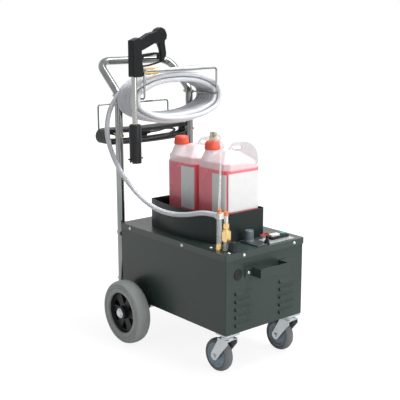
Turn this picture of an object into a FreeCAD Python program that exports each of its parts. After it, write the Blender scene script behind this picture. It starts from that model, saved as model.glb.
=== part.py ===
import FreeCAD
import Part
import Sketcher

import math
import os

# Wheeled foam sprayer cart: a sheet steel housing on two wheels and two casters,
# with a tube handle, hose and cable hooks, a tray of two chemical cans and a hung foam gun.
# Millimetres, +Z up, ground at Z 0. X runs across the front, which faces -Y.
# All pieces are worked out from the housing's middle and then moved along Y by cart_shift,
# so that the origin lies under the middle of the whole cart.

doc = FreeCAD.newDocument("sprayer_cart")
sheet = doc.addObject("Spreadsheet::Sheet", "sheet")
vec = FreeCAD.Vector


class Size(float):
    """A number that also carries the sheet expression that it comes from."""

    def __new__(cls, value, text):
        size = super().__new__(cls, value)
        size.text = text
        return size

    def __add__(self, other):
        return Size(float(self) + float(other), f"({self.text} + {words(other)})")

    def __radd__(self, other):
        return Size(float(other) + float(self), f"({words(other)} + {self.text})")

    def __sub__(self, other):
        return Size(float(self) - float(other), f"({self.text} - {words(other)})")

    def __rsub__(self, other):
        return Size(float(other) - float(self), f"({words(other)} - {self.text})")

    def __mul__(self, other):
        return Size(float(self) * float(other), f"({self.text} * {words(other)})")

    def __rmul__(self, other):
        return Size(float(other) * float(self), f"({words(other)} * {self.text})")

    def __truediv__(self, other):
        return Size(float(self) / float(other), f"({self.text} / {words(other)})")

    def __neg__(self):
        return Size(-float(self), f"(0 - {self.text})")


def words(value):
    """The text of a value in an expression."""
    return value.text if isinstance(value, Size) else f"{float(value):.6f}"


def cell(word, value):
    """Puts one driving dimension in the sheet under its alias and returns it."""
    cell.row += 1
    sheet.set(f"A{cell.row}", str(value))
    sheet.setAlias(f"A{cell.row}", word)
    return Size(float(value), f"sheet.{word}")


cell.row = 0

# Clearances and stock
play = cell("play", 0.3)
sheet_steel = cell("sheet_steel", 1.5)

# Housing, lid and what is pressed into them
housing_width = cell("housing_width", 306)
housing_length = cell("housing_length", 500)
wall_x = housing_width / 2
wall_y = housing_length / 2
housing_floor = cell("housing_floor", 127)
housing_corner = cell("housing_corner", 3)
lid_top = cell("lid_top", 363)
lid_overhang = cell("lid_overhang", 3)
lid_skirt = cell("lid_skirt", 19)
louvre_length = cell("louvre_length", 62)
louvre_column = wall_x - cell("louvre_inset", 66)
louvre_pitch = cell("louvre_pitch", 23.4)
louvre_low = cell("louvre_low", 152)
louvre_height = cell("louvre_height", 12)
louvre_depth = cell("louvre_depth", 6)
plug_across = cell("plug_across", 33)
plug_place = wall_x - cell("plug_inset", 46)
plug_level = cell("plug_level", 299)

# Front strap handle
strap_width = cell("strap_width", 26)
strap_thick = cell("strap_thick", 3)
strap_span = cell("strap_span", 112)
strap_reach = cell("strap_reach", 35)
strap_foot = cell("strap_foot", 26)
strap_level = cell("strap_level", 299)

# Push handle frame
tube_across = cell("tube_across", 25)
tube_wall = cell("tube_wall", 1.5)
upright_place = wall_x - cell("upright_inset", 11)
spacer_length = cell("spacer_length", 5)
spacer_across = cell("spacer_across", 22)
upright_foot = cell("upright_foot", 150)
bend_level = cell("bend_level", 768)
handle_level = cell("handle_level", 864)
handle_back = cell("handle_back", 110)
handle_corner = cell("handle_corner", 42)
frame_bolt_low = cell("frame_bolt_low", 170)
frame_bolt_high = cell("frame_bolt_high", 324)
bolt_across = cell("bolt_across", 8)
nut_across = cell("nut_across", 13)
nut_height = cell("nut_height", 6)
saddle = cell("saddle", 7)

# Hooks of round wire
wire_across = cell("wire_across", 6)
wire_corner = cell("wire_corner", 9)
front_hook_level = cell("front_hook_level", 762)
front_hook_reach = cell("front_hook_reach", 125)
rear_hook_level = cell("rear_hook_level", 639)
rear_hook_reach = cell("rear_hook_reach", 104)
hook_height = cell("hook_height", 82)

# Rear wheels
wheel_radius = cell("wheel_radius", 100)
wheel_width = cell("wheel_width", 48)
wheel_rim = cell("wheel_rim", 70)
wheel_place = wall_x + cell("wheel_outset", 48)
wheel_back = wall_y - cell("wheel_setback", 89)
axle_across = cell("axle_across", 16)
hub_across = cell("hub_across", 42)
spoke_voids = cell("spoke_voids", 6)
bracket_thick = cell("bracket_thick", 4)
bracket_place = wall_x - cell("bracket_inset", 15)

# Front casters
caster_place = wall_x - cell("caster_inset", 29)
caster_front = wall_y - cell("caster_setback", 24)
caster_trail = cell("caster_trail", 36)
caster_radius = cell("caster_radius", 49)
caster_width = cell("caster_width", 32)
caster_rim = cell("caster_rim", 36)
caster_bolt = cell("caster_bolt", 10)
fork_thick = cell("fork_thick", 3)
pad_side = cell("pad_side", 50)
pad_thick = cell("pad_thick", 6)

# Tray
tray_wall = cell("tray_wall", 3)
tray_height = cell("tray_height", 87)
tray_front = wall_y - cell("tray_setback", 85)
tray_back = cell("tray_length", 324) - tray_front
tray_right = cell("tray_right", 78)
tray_left = cell("tray_left", 100)
tray_bulge = cell("tray_bulge", 21)
tray_round = cell("tray_round", 46)

# Cans
can_side = cell("can_side", 136)
can_corner = cell("can_corner", 16)
can_wall = cell("can_wall", 1.6)
can_shoulder = cell("can_shoulder", 226)
can_top = cell("can_top", 256)
can_fill = cell("can_fill", 206)
can_across = cell("can_across", 2)
can_gap = cell("can_gap", 8)
can_grip = cell("can_grip", 26)
cap_across = cell("cap_across", 47)
cap_height = cell("cap_height", 25)
neck_across = cell("neck_across", 38)
neck_place = cell("neck_place", 34)

# Foam gun with its lance
gun_side = cell("gun_side", 173)
gun_front = cell("gun_front", 128.5)
gun_thick = cell("gun_thick", 29)
gun_low = cell("gun_low", 829)
lance_across = cell("lance_across", 16.5)
lance_low = cell("lance_low", 680)
nozzle_across = cell("nozzle_across", 38)
nozzle_top = cell("nozzle_top", 690)
nozzle_low = cell("nozzle_low", 574)
inlet_level = cell("inlet_level", 843)

# Hose, cable and suction tube
hose_across = cell("hose_across", 15)
hose_gap = cell("hose_gap", 0.9)
cable_across = cell("cable_across", 7)
cable_gap = cell("cable_gap", 0.8)
suction_across = cell("suction_across", 6)
coil_level = cell("coil_level", 757)
coil_half = upright_place + cell("coil_overhang", 13)
coil_rise = cell("coil_rise", 56)
hank_level = cell("hank_level", 631.3)
hank_rise = cell("hank_rise", 14.5)
hank_left = -upright_place - cell("hank_overhang", 10)
hank_right = upright_place + cell("hank_reach", 4)
hank_front = cell("hank_front", 301)

# Fastenings, wheels and casters in more detail
gland_place = cell("gland_place", 96)
gland_level = cell("gland_level", 262)
gland_across = cell("gland_across", 20)
screw_head = cell("screw_head", 10)
screw_rise = cell("screw_rise", 2.5)
rim_web = cell("rim_web", 9)
hub_cap = cell("hub_cap", 8)
bracket_half = cell("bracket_half", 45)
bracket_below = cell("bracket_below", 18)
bracket_flange = cell("bracket_flange", 36)
bowl_across = cell("bowl_across", 40)
fork_top = cell("fork_top", 110)
fork_half = cell("fork_half", 21)
axle_small = cell("axle_small", 8)
caster_hole = cell("caster_hole", 19)
can_slope = cell("can_slope", 38)
dip_across = cell("dip_across", 8)
spindle = cell("spindle", 3)

# Gun parts
trigger_pin = cell("trigger_pin", 4)
trigger_thick = cell("trigger_thick", 12)
trigger_arm = cell("trigger_arm", 10)
trigger_rise = cell("trigger_rise", 57)
inlet_across = cell("inlet_across", 12)

# Controls
meter_place = wall_x - cell("meter_inset", 21)
meter_front = wall_y - cell("meter_setback", 52)
meter_across = cell("meter_across", 16)
meter_tube = cell("meter_tube", 70)
block_height = cell("block_height", 14)
stack_place = wall_x - cell("stack_inset", 36)
stack_front = wall_y - cell("stack_setback", 41)
grey_place = cell("grey_inset", 166) - wall_x
grey_front = wall_y - cell("grey_setback", 57)
grey_across = cell("grey_across", 27)
black_place = wall_x - cell("black_inset", 40)
black_front = wall_y - cell("black_setback", 18)
black_across = cell("black_across", 24)
lever_place = wall_x - cell("lever_inset", 138)
lever_front = wall_y - cell("lever_setback", 12)
plate_left = wall_x - cell("plate_inset", 129)
plate_length = cell("plate_length", 101)
plate_width = cell("plate_width", 53)
block_left = wall_x - cell("block_inset", 100)
block_length = cell("block_length", 70)
block_width = cell("block_width", 30)

# Motor and pump
foot_tall = cell("foot_tall", 15)
motor_across = cell("motor_across", 120)
motor_length = cell("motor_length", 150)
shaft_across = cell("shaft_across", 14)

# Places that several pieces share
upright_y = wall_y + spacer_length + tube_across / 2
handle_y = upright_y + handle_back
cart_back = handle_y + tube_across / 2
cart_front = wall_y + strap_reach + strap_thick
cart_shift = (cart_front - cart_back) / 2
lid_under = lid_top - sheet_steel
trigger_x = trigger_arm - gun_side
trigger_z = gun_low + trigger_rise
lever_x = lever_place
lever_y = -lever_front
lever_base = lid_top + 28
block_front = -lever_front + 16
doc.recompute()

parts = {}


def bind(obj, prop, value):
    """Ties a property of an object to the sheet, or sets it where the value is a plain number."""
    if isinstance(value, Size):
        obj.setExpression(prop, value.text)
    elif prop.startswith("Placement"):
        axis = prop[-1]
        place = obj.Placement
        setattr(place.Base, axis, float(value))
        obj.Placement = place
    else:
        setattr(obj, prop, float(value))


def turn_of(axis):
    """The rotation that takes local Z to the named axis."""
    turns = {
        "x": FreeCAD.Rotation(vec(0, 1, 0), 90),
        "y": FreeCAD.Rotation(vec(1, 0, 0), -90),
        "z": FreeCAD.Rotation(),
        "-y": FreeCAD.Rotation(vec(1, 0, 0), 90),
        "-x": FreeCAD.Rotation(vec(0, 1, 0), -90),
    }
    return turns[axis] if isinstance(axis, str) else axis


def put(obj, x, y, z, axis="z"):
    """Places an object at a point, with its local Z along the named axis."""
    obj.Placement = FreeCAD.Placement(vec(float(x), float(y), float(z)), turn_of(axis))
    for name, value in (("x", x), ("y", y), ("z", z)):
        if isinstance(value, Size):
            obj.setExpression(f"Placement.Base.{name}", value.text)
    return obj


def box(name, x, y, z, length, width, height):
    """A box from its low corner."""
    obj = doc.addObject("Part::Box", name)
    bind(obj, "Length", length)
    bind(obj, "Width", width)
    bind(obj, "Height", height)
    return put(obj, x, y, z)


def rod(name, axis, x, y, z, radius, length):
    """A cylinder that starts at a point and runs along the named axis."""
    obj = doc.addObject("Part::Cylinder", name)
    bind(obj, "Radius", radius)
    bind(obj, "Height", length)
    return put(obj, x, y, z, axis)


def taper(name, axis, x, y, z, start, end, length):
    """A cone frustum that starts at a point and runs along the named axis."""
    obj = doc.addObject("Part::Cone", name)
    bind(obj, "Radius1", start)
    bind(obj, "Radius2", end)
    bind(obj, "Height", length)
    return put(obj, x, y, z, axis)


def nut(name, axis, x, y, z, across, height):
    """A hexagonal nut or bolt head."""
    obj = doc.addObject("Part::Prism", name)
    obj.Polygon = 6
    bind(obj, "Circumradius", across / math.sqrt(3))
    bind(obj, "Height", height)
    return put(obj, x, y, z, axis)


def cut(name, base, tools):
    """The base with each tool taken away."""
    for number, tool in enumerate(tools):
        obj = doc.addObject("Part::Cut", f"{name}_cut{number}")
        obj.Base = base
        obj.Tool = tool
        base = obj
    return base


def fuse(name, items):
    """Several shapes made one."""
    obj = doc.addObject("Part::MultiFuse", name)
    obj.Shapes = items
    obj.Refine = True
    return obj


def group(name, items):
    """Several separate solids in one sub-part."""
    obj = doc.addObject("Part::Compound", name)
    obj.Links = items
    return obj


def rounded(name, obj, edges, radius):
    """A shape with some of its edges rounded."""
    fillet = doc.addObject("Part::Fillet", name)
    fillet.Base = obj
    fillet.Edges = [(edge, float(radius), float(radius)) for edge in edges]
    return fillet


def upright_box(name, x, y, z, length, width, height, radius):
    """A box whose four upright edges are rounded."""
    return rounded(name, box(f"{name}_block", x, y, z, length, width, height), (1, 3, 5, 7), radius)


def sketch_on(body, plane, outlines):
    """A sketch of closed outlines, each point tied to the sheet by its two distances."""
    sketch = body.newObject("Sketcher::SketchObject", f"{body.Name}_sketch")
    face = [f for f in body.Origin.OriginFeatures if f.Role == plane][0]
    sketch.AttachmentSupport = [(face, "")]
    sketch.MapMode = "FlatFace"
    for outline in outlines:
        first = sketch.GeometryCount
        count = len(outline)
        for number, (across, up) in enumerate(outline):
            after = outline[(number + 1) % count]
            start = vec(float(across), float(up), 0)
            end = vec(float(after[0]), float(after[1]), 0)
            sketch.addGeometry(Part.LineSegment(start, end), False)
        for number, (across, up) in enumerate(outline):
            line = first + number
            before = first + (number - 1) % count
            sketch.addConstraint(Sketcher.Constraint("Coincident", before, 2, line, 1))
            for kind, value in (("DistanceX", across), ("DistanceY", up)):
                index = sketch.addConstraint(Sketcher.Constraint(kind, -1, 1, line, 1, float(value)))
                if isinstance(value, Size):
                    sketch.setExpression(f"Constraints[{index}]", value.text)
    return sketch


def turned(name, axis, x, y, z, outline):
    """A body turned about its own axis from a half outline of (radius, height) points."""
    body = doc.addObject("PartDesign::Body", name)
    sketch = sketch_on(body, "XZ_Plane", [outline])
    feature = body.newObject("PartDesign::Revolution", f"{name}_turn")
    feature.Profile = sketch
    feature.ReferenceAxis = (sketch, ["V_Axis"])
    feature.Angle = 360
    body.Tip = feature
    return put(body, x, y, z, axis)


def prism(name, plane, outlines, length, x=0, y=0, z=0, axis="z"):
    """A body of one or more closed outlines, padded to both sides of its plane."""
    body = doc.addObject("PartDesign::Body", name)
    sketch = sketch_on(body, plane, outlines)
    pad = body.newObject("PartDesign::Pad", f"{name}_pad")
    pad.Profile = sketch
    pad.Midplane = True
    bind(pad, "Length", length)
    body.Tip = pad
    return put(body, x, y, z, axis)


def bent_path(points, radii):
    """A wire of straight runs joined by tangent arcs, one radius for each inner point."""
    edges = []
    here = points[0]
    for before, corner, after, radius in zip(points, points[1:], points[2:], radii):
        into = (corner - before).normalize()
        away = (after - corner).normalize()
        turn = into.getAngle(away)
        reach = radius * math.tan(turn / 2)
        start = corner - into * reach
        end = corner + away * reach
        toward = (away - into).normalize()
        centre = corner + toward * (radius / math.cos(turn / 2))
        middle = centre - toward * radius
        edges.append(Part.LineSegment(here, start).toShape())
        edges.append(Part.Arc(start, middle, end).toShape())
        here = end
    edges.append(Part.LineSegment(here, points[-1]).toShape())
    return Part.Wire(edges)


def swept(name, path, radius):
    """A round bar along a wire, swept from a circle whose radius is tied to the sheet."""
    spine = doc.addObject("Part::Feature", f"{name}_path")
    spine.Shape = path
    ring = doc.addObject("Part::Circle", f"{name}_ring")
    bind(ring, "Radius", radius)
    first = path.Edges[0]
    heading = first.tangentAt(first.FirstParameter)
    ring.Placement = FreeCAD.Placement(path.Vertexes[0].Point, FreeCAD.Rotation(vec(0, 0, 1), heading))
    obj = doc.addObject("Part::Sweep", name)
    obj.Sections = [ring]
    obj.Spine = (spine, [f"Edge{number + 1}" for number in range(len(path.Edges))])
    obj.Solid = True
    obj.Frenet = False
    return obj


def keep(name, obj):
    """Names a finished sub-part and moves it with the cart."""
    obj.Label = name
    texts = {path.lstrip("."): text for path, text in obj.ExpressionEngine}
    old = texts.get("Placement.Base.y")
    base = Size(obj.Placement.Base.y, old) if old else obj.Placement.Base.y
    obj.setExpression("Placement.Base.y", (cart_shift + base).text)
    parts[name] = obj


def row_of(name, make, places):
    """Like solids at several places, in one sub-part."""
    return group(name, [make(f"{name}_{number}", *place) for number, place in enumerate(places)])


# Housing: a folded steel shell, open at the top, with two columns of pressed louvres

def louvre_outline(level, skin):
    """The section of one louvre, drawn from the wall outwards, with its skin left off."""
    top = level + louvre_height / 2 - skin
    lip = level - louvre_height / 2
    inside = -wall_y + sheet_steel + skin
    out = -wall_y - louvre_depth + skin
    return [(inside, top), (-wall_y, top), (out, lip + 3), (out, lip), (inside, lip)]


def louvre_prisms(name, skin, length):
    """Both columns of louvres as two bodies."""
    outlines = [louvre_outline(louvre_low + louvre_pitch * row, skin) for row in range(5)]
    return [prism(f"{name}_{side}", "YZ_Plane", outlines, length, x=louvre_column * side) for side in (-1, 1)]


def housing():
    outer = upright_box("shell_outer", -wall_x, -wall_y, housing_floor, housing_width, housing_length,
                        lid_under - play - housing_floor, housing_corner)
    hollow = upright_box("shell_hollow", -wall_x + sheet_steel, -wall_y + sheet_steel,
                         housing_floor + sheet_steel, housing_width - sheet_steel * 2,
                         housing_length - sheet_steel * 2, lid_top - housing_floor,
                         housing_corner - sheet_steel)
    shell = cut("shell", outer, [hollow])
    pressed = fuse("shell_pressed", [shell] + louvre_prisms("louvre", 0, louvre_length))
    holes = louvre_prisms("louvre_hollow", sheet_steel, louvre_length - sheet_steel * 2)
    holes.append(rod("plug_hole", "y", -plug_place, -wall_y - 1, plug_level, plug_across / 2 - 2,
                     sheet_steel + 2))
    for side in (-1, 1):
        for level in (frame_bolt_low, frame_bolt_high):
            holes.append(rod(f"frame_hole_{side}_{int(level)}", "y", upright_place * side,
                             wall_y - sheet_steel - 1, level, bolt_across / 2 + play, sheet_steel + 2))
    holes.append(rod("gland_hole", "y", gland_place, wall_y - sheet_steel - 1, gland_level,
                     gland_across / 2 + play, sheet_steel + 2))
    keep("housing", cut("housing", pressed, holes))


housing()


# Lid: a shallow pan over the housing with its skirt outside the walls

lid_outer = upright_box("lid_outer", -wall_x - lid_overhang, -wall_y - lid_overhang, lid_top - lid_skirt,
                        housing_width + lid_overhang * 2, housing_length + lid_overhang * 2, lid_skirt,
                        housing_corner + lid_overhang)
lid_inner = lid_overhang - sheet_steel
lid_hollow = upright_box("lid_hollow", -wall_x - lid_inner, -wall_y - lid_inner, lid_top - lid_skirt - 1,
                         housing_width + lid_inner * 2, housing_length + lid_inner * 2,
                         lid_skirt - sheet_steel + 1, housing_corner + lid_inner)
lid_hole_places = [(-grey_place, -grey_front, spindle + play), (-black_place, -black_front, spindle + play),
                   (-meter_place, -meter_front, meter_across / 2 - 3 + play)]
lid_holes = [rod(f"lid_hole_{number}", "z", x, y, lid_top - 5, radius, 10)
             for number, (x, y, radius) in enumerate(lid_hole_places)]
lid_holes.append(box("lid_switch_hole", block_left + 4 - play, block_front + 4 - play, lid_top - 5,
                     block_length - 8 + play * 2, block_width - 8 + play * 2, 10))
keep("lid", cut("lid", lid_outer, [lid_hollow] + lid_holes))


def round_head(name, axis, x, y, z):
    """A domed screw head of 10 across, standing on a face."""
    return taper(name, axis, x, y, z, screw_head / 2, screw_head / 3, screw_rise)


skirt_face = wall_y + lid_overhang
front_screws = [("-y", place, -skirt_face, lid_top - 10) for place in (-wall_x + 66, wall_x - 40)]
top_screws = [("z", -wall_x + 22, -wall_y + back, lid_top) for back in (12, 88)]
side_screws = [(axis, sign * (wall_x + lid_overhang), place, lid_top - 10)
               for axis, sign in (("x", 1), ("-x", -1)) for place in (-60, wall_y - 50)]

plug = turned("blanking_plug", "-y", -plug_place, -wall_y, plug_level,
              [(0, -4), (plug_across / 2 - 2.4, -4), (plug_across / 2 - 2.4, 0), (plug_across / 2, 0),
               (plug_across / 2, 1.2), (plug_across / 2 - 2.5, 2.4), (plug_across / 2 - 6, 2.4),
               (plug_across / 2 - 7, 1.4), (0, 1.4)])


# Strap handle: a flat bar bent twice, on two feet screwed to the front

strap_out = -wall_y - strap_reach
strap_half = strap_span / 2
strap = prism("strap_handle", "XY_Plane", [[
    (-strap_half - strap_foot, -wall_y), (-strap_half - strap_foot, -wall_y - strap_thick),
    (-strap_half, -wall_y - strap_thick), (-strap_half, strap_out - strap_thick),
    (strap_half, strap_out - strap_thick), (strap_half, -wall_y - strap_thick),
    (strap_half + strap_foot, -wall_y - strap_thick), (strap_half + strap_foot, -wall_y),
    (strap_half - strap_thick, -wall_y), (strap_half - strap_thick, strap_out),
    (-strap_half + strap_thick, strap_out), (-strap_half + strap_thick, -wall_y)]],
    strap_width, z=strap_level)
keep("strap_handle", strap)
strap_screw = strap_half + strap_foot / 2
strap_face = -wall_y - strap_thick
strap_screws = [("-y", strap_screw * side, strap_face, strap_level) for side in (-1, 1)]
keep("panel_screws", row_of("panel_screws", round_head,
                            front_screws + top_screws + side_screws + strap_screws))


# Push handle: one chrome tube, two uprights bolted behind the housing, bent back and up

def handle_points(left_foot, right_foot):
    """The middle line of the handle tube."""
    x, y, back = float(upright_place), float(upright_y), float(handle_y)
    low, high = float(bend_level), float(handle_level)
    return [vec(-x, y, left_foot), vec(-x, y, low), vec(-x, back, high),
            vec(x, back, high), vec(x, y, low), vec(x, y, right_foot)]


def handle_frame():
    foot = float(upright_foot)
    corner = float(handle_corner)
    radii = [corner] * 4
    outer = swept("handle_outer", bent_path(handle_points(foot, foot), radii), tube_across / 2)
    bore = swept("handle_bore", bent_path(handle_points(foot - 1, foot - 1), radii),
                 tube_across / 2 - tube_wall)
    holes = []
    for side in (-1, 1):
        for level, across in ((frame_bolt_low, bolt_across), (frame_bolt_high, bolt_across),
                              (front_hook_level, wire_across), (rear_hook_level, wire_across)):
            holes.append(rod(f"tube_hole_{side}_{int(level)}", "y", upright_place * side,
                             upright_y - tube_across, level, across / 2 + play, tube_across * 2))
    keep("handle_frame", cut("handle_frame", outer, [bore] + holes))


handle_frame()


def spacer(name, x, z):
    """A black bush between the rear wall and the tube, with a bore for the bolt."""
    outer = rod(f"{name}_outer", "y", x, wall_y, z, spacer_across / 2, upright_y - wall_y)
    seat = rod(f"{name}_seat", "z", x, upright_y, z - spacer_across, tube_across / 2 + play / 3,
               spacer_across * 2)
    bore = rod(f"{name}_bore", "y", x, wall_y - 1, z, bolt_across / 2 + play, tube_across)
    return cut(name, outer, [seat, bore])


frame_bolts_at = [(upright_place * side, level) for side in (-1, 1)
                  for level in (frame_bolt_low, frame_bolt_high)]
spacers = row_of("tube_spacers", spacer, frame_bolts_at)


def frame_bolt(name, x, z):
    """A bolt from inside the housing through bush and tube, with its nut behind."""
    start = wall_y - sheet_steel
    shank = rod(f"{name}_shank", "y", x, start - nut_height, z, bolt_across / 2,
                upright_y + tube_across / 2 - start + nut_height * 2 + 3)
    head = nut(f"{name}_head", "y", x, start - nut_height, z, nut_across, nut_height)
    end = nut(f"{name}_nut", "y", x, upright_y + tube_across / 2, z, nut_across, nut_height)
    return fuse(name, [shank, head, end])


frame_bolts = row_of("frame_bolts", frame_bolt, frame_bolts_at)

foot_cap = [(0, 0), (tube_across / 2, 0), (tube_across / 2, 3), (tube_across / 2 - tube_wall - 0.2, 3),
            (tube_across / 2 - tube_wall - 0.2, 14), (0, 14)]
keep("tube_bushes", group("tube_bushes", [spacers] + [
    turned(f"tube_cap_{side}", "z", upright_place * side, upright_y, upright_foot - 3, foot_cap)
    for side in (-1, 1)]))


# Hooks: round wire through both uprights, out, up and across, held by two nuts on each side

def hook(name, level, start, end, height):
    """A hook whose arms run from one Y to another and whose crossbar stands above them."""
    x, z = float(upright_place), float(level)
    top = z + float(height)
    y0, y1 = float(start), float(end)
    points = [vec(-x, y0, z), vec(-x, y1, z), vec(-x, y1, top), vec(x, y1, top), vec(x, y1, z), vec(x, y0, z)]
    return swept(name, bent_path(points, [float(wire_corner)] * 4), wire_across / 2)


hook_end = tube_across / 2 + nut_height + 3
front_hook = hook("front_hook", front_hook_level, upright_y + hook_end + saddle,
                  upright_y - tube_across / 2 - front_hook_reach, hook_height)
rear_hook = hook("rear_hook", rear_hook_level, upright_y - hook_end,
                 upright_y + tube_across / 2 + rear_hook_reach, hook_height + 4)
keep("hooks", group("hooks", [front_hook, rear_hook]))


def hook_nut(name, x, y, z):
    """A nut with a clear bore for the wire."""
    body = nut(f"{name}_body", "y", x, y, z, nut_across - 2, nut_height)
    bore = rod(f"{name}_bore", "y", x, y - 1, z, wire_across / 2 + play / 6, nut_height + 2)
    return cut(name, body, [bore])


nut_front = upright_y - tube_across / 2 - nut_height
nut_back = upright_y + tube_across / 2
hook_nuts = row_of("hook_nuts", hook_nut, [
    (upright_place * side, face, level) for side in (-1, 1)
    for face, level in ((nut_front, front_hook_level), (nut_back + saddle, front_hook_level),
                        (nut_front, rear_hook_level), (nut_back, rear_hook_level))])
keep("frame_fasteners", group("frame_fasteners", [frame_bolts, hook_nuts]))


# Rear wheels: tyre on a spoked rim with a plain hub, running on one through axle

def wheel_tyre(side):
    half = wheel_width / 2
    name = f"tyre_{side_name(side)}"
    outline = [(wheel_rim, -half + 3), (wheel_rim + 6, -half), (wheel_radius - 12, -half),
               (wheel_radius - 4, -half + 5), (wheel_radius, -half + 15), (wheel_radius, half - 15),
               (wheel_radius - 4, half - 5), (wheel_radius - 12, half), (wheel_rim + 6, half),
               (wheel_rim, half - 3)]
    keep(name, turned(name, "x", wheel_place * side, wheel_back, wheel_radius, outline))


def void_outline(number):
    """One wedge-shaped void between two spokes of the rim, its point towards the hub."""
    middle = math.radians(60 * number + 30)
    near, far = float(hub_across) / 2 + 7, float(wheel_rim) - 12
    spread = math.radians(17)
    return [(near * math.cos(middle - 0.12), near * math.sin(middle - 0.12)),
            (far * math.cos(middle - spread), far * math.sin(middle - spread)),
            (far * math.cos(middle + spread), far * math.sin(middle + spread)),
            (near * math.cos(middle + 0.12), near * math.sin(middle + 0.12))]


def wheel_rim_of(side):
    half = wheel_width / 2
    name = f"rim_{side_name(side)}"
    bush = axle_across / 2 + 0.05
    hub = hub_across / 2
    outline = [(bush, -half), (hub, -half), (hub, -rim_web), (wheel_rim - 9, -rim_web),
               (wheel_rim - 5, -half + 3), (wheel_rim, -half + 3), (wheel_rim, half - 3),
               (wheel_rim - 5, half - 3), (wheel_rim - 9, rim_web), (hub, rim_web), (hub, half),
               (bush, half)]
    disc = turned(f"{name}_disc", "x", wheel_place * side, wheel_back, wheel_radius, outline)
    voids = prism(f"{name}_voids", "YZ_Plane", [void_outline(number) for number in range(int(spoke_voids))],
                  rim_web * 3, x=wheel_place * side, y=wheel_back, z=wheel_radius)
    keep(name, cut(name, disc, [voids]))


def side_name(side):
    return "left" if side < 0 else "right"


axle_end = wheel_place + wheel_width / 2 + 0.5 + play
for side in (-1, 1):
    wheel_tyre(side)
    wheel_rim_of(side)

axle = rod("axle", "x", -axle_end - hub_cap + 2, wheel_back, wheel_radius, axle_across / 2,
           axle_end * 2 + hub_cap * 2 - 4)


def hub_cap_of(name, side):
    """A pressed zinc cap that grips the axle's end and keeps the wheel on."""
    near, deep = axle_end, hub_cap
    outline = [(axle_across / 2, 0), (axle_across / 2 + 7, 0), (axle_across / 2 + 7, 2),
               (axle_across / 2 + 3, 3), (axle_across / 2 + 2, deep - 1), (axle_across / 2 - 1, deep),
               (0, deep), (0, deep - 2), (axle_across / 2, deep - 2)]
    return turned(name, "x" if side > 0 else "-x", near * side, wheel_back, wheel_radius, outline)


hub_caps = [hub_cap_of(f"hub_cap_{side_name(side)}", side) for side in (-1, 1)]


def axle_collar(name, side):
    """A tube on the axle between its bracket and the wheel."""
    start = bracket_place + bracket_thick / 2
    length = wheel_place - wheel_width / 2 - 0.5 - play - start
    outer = rod(f"{name}_outer", "x" if side > 0 else "-x", start * side, wheel_back, wheel_radius,
                axle_across / 2 + 3, length)
    bore = rod(f"{name}_bore", "x" if side > 0 else "-x", (start - 1) * side, wheel_back, wheel_radius,
               axle_across / 2, length + 2)
    return cut(name, outer, [bore])


collars = [axle_collar(f"axle_collar_{side_name(side)}", side) for side in (-1, 1)]
keep("rear_axle", group("rear_axle", [axle] + collars + hub_caps))


def axle_bracket(name, side):
    """An angle under the floor whose upright plate carries the axle."""
    plate = box(f"{name}_plate", bracket_place * side - bracket_thick / 2, wheel_back - bracket_half,
                wheel_radius - bracket_below, bracket_thick, bracket_half * 2,
                housing_floor - wheel_radius + bracket_below)
    near = bracket_place - bracket_flange if side > 0 else -bracket_place
    flange = box(f"{name}_flange", near, wheel_back - bracket_half, housing_floor - bracket_thick,
                 bracket_flange, bracket_half * 2, bracket_thick)
    tools = [rod(f"{name}_hole", "x", (bracket_place - 10) * side if side > 0 else -bracket_place - 10,
                 wheel_back, wheel_radius, axle_across / 2, 20)]
    tools += [rod(f"{name}_bolt_hole_{int(back)}", "z", bracket_bolt * side, wheel_back + back,
                  housing_floor - bracket_thick - 1, bolt_across / 2 + play, bracket_thick + 2)
              for back in (-32, 32)]
    return cut(name, fuse(f"{name}_angle", [plate, flange]), tools)


bracket_bolt = bracket_place - 20
keep("axle_brackets", group("axle_brackets", [axle_bracket(f"axle_bracket_{side_name(side)}", side)
                                              for side in (-1, 1)]))


# Front casters: a bolted plate, a fork that swivels on a pin below it, and a wheel on a cross bolt

def caster_plate(side):
    """The top plate with its raceway and pin, fixed under the housing."""
    x, y = caster_place * side, -caster_front
    name = f"caster_plate_{side_name(side)}"
    half = pad_side / 2
    plate = upright_box(f"{name}_pad", x - half, y - half, housing_floor - pad_thick,
                        pad_side, pad_side, pad_thick, 3)
    neck = rod(f"{name}_neck", "z", x, y, fork_top, bowl_across / 2 - 4, housing_floor - pad_thick - fork_top)
    pin = rod(f"{name}_pin", "z", x, y, fork_top - fork_thick - 4, caster_bolt / 2, 20)
    foot = nut(f"{name}_foot", "z", x, y, fork_top - fork_thick - 8, nut_across + 3, 7)
    holes = [rod(f"{name}_hole_{a}_{b}", "z", x + caster_hole * a, y + caster_hole * b,
                 housing_floor - pad_thick - 1, 2.5, pad_thick + 2) for a in (-1, 1) for b in (-1, 1)]
    return cut(name, fuse(f"{name}_whole", [plate, neck, pin, foot]), holes)


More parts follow.
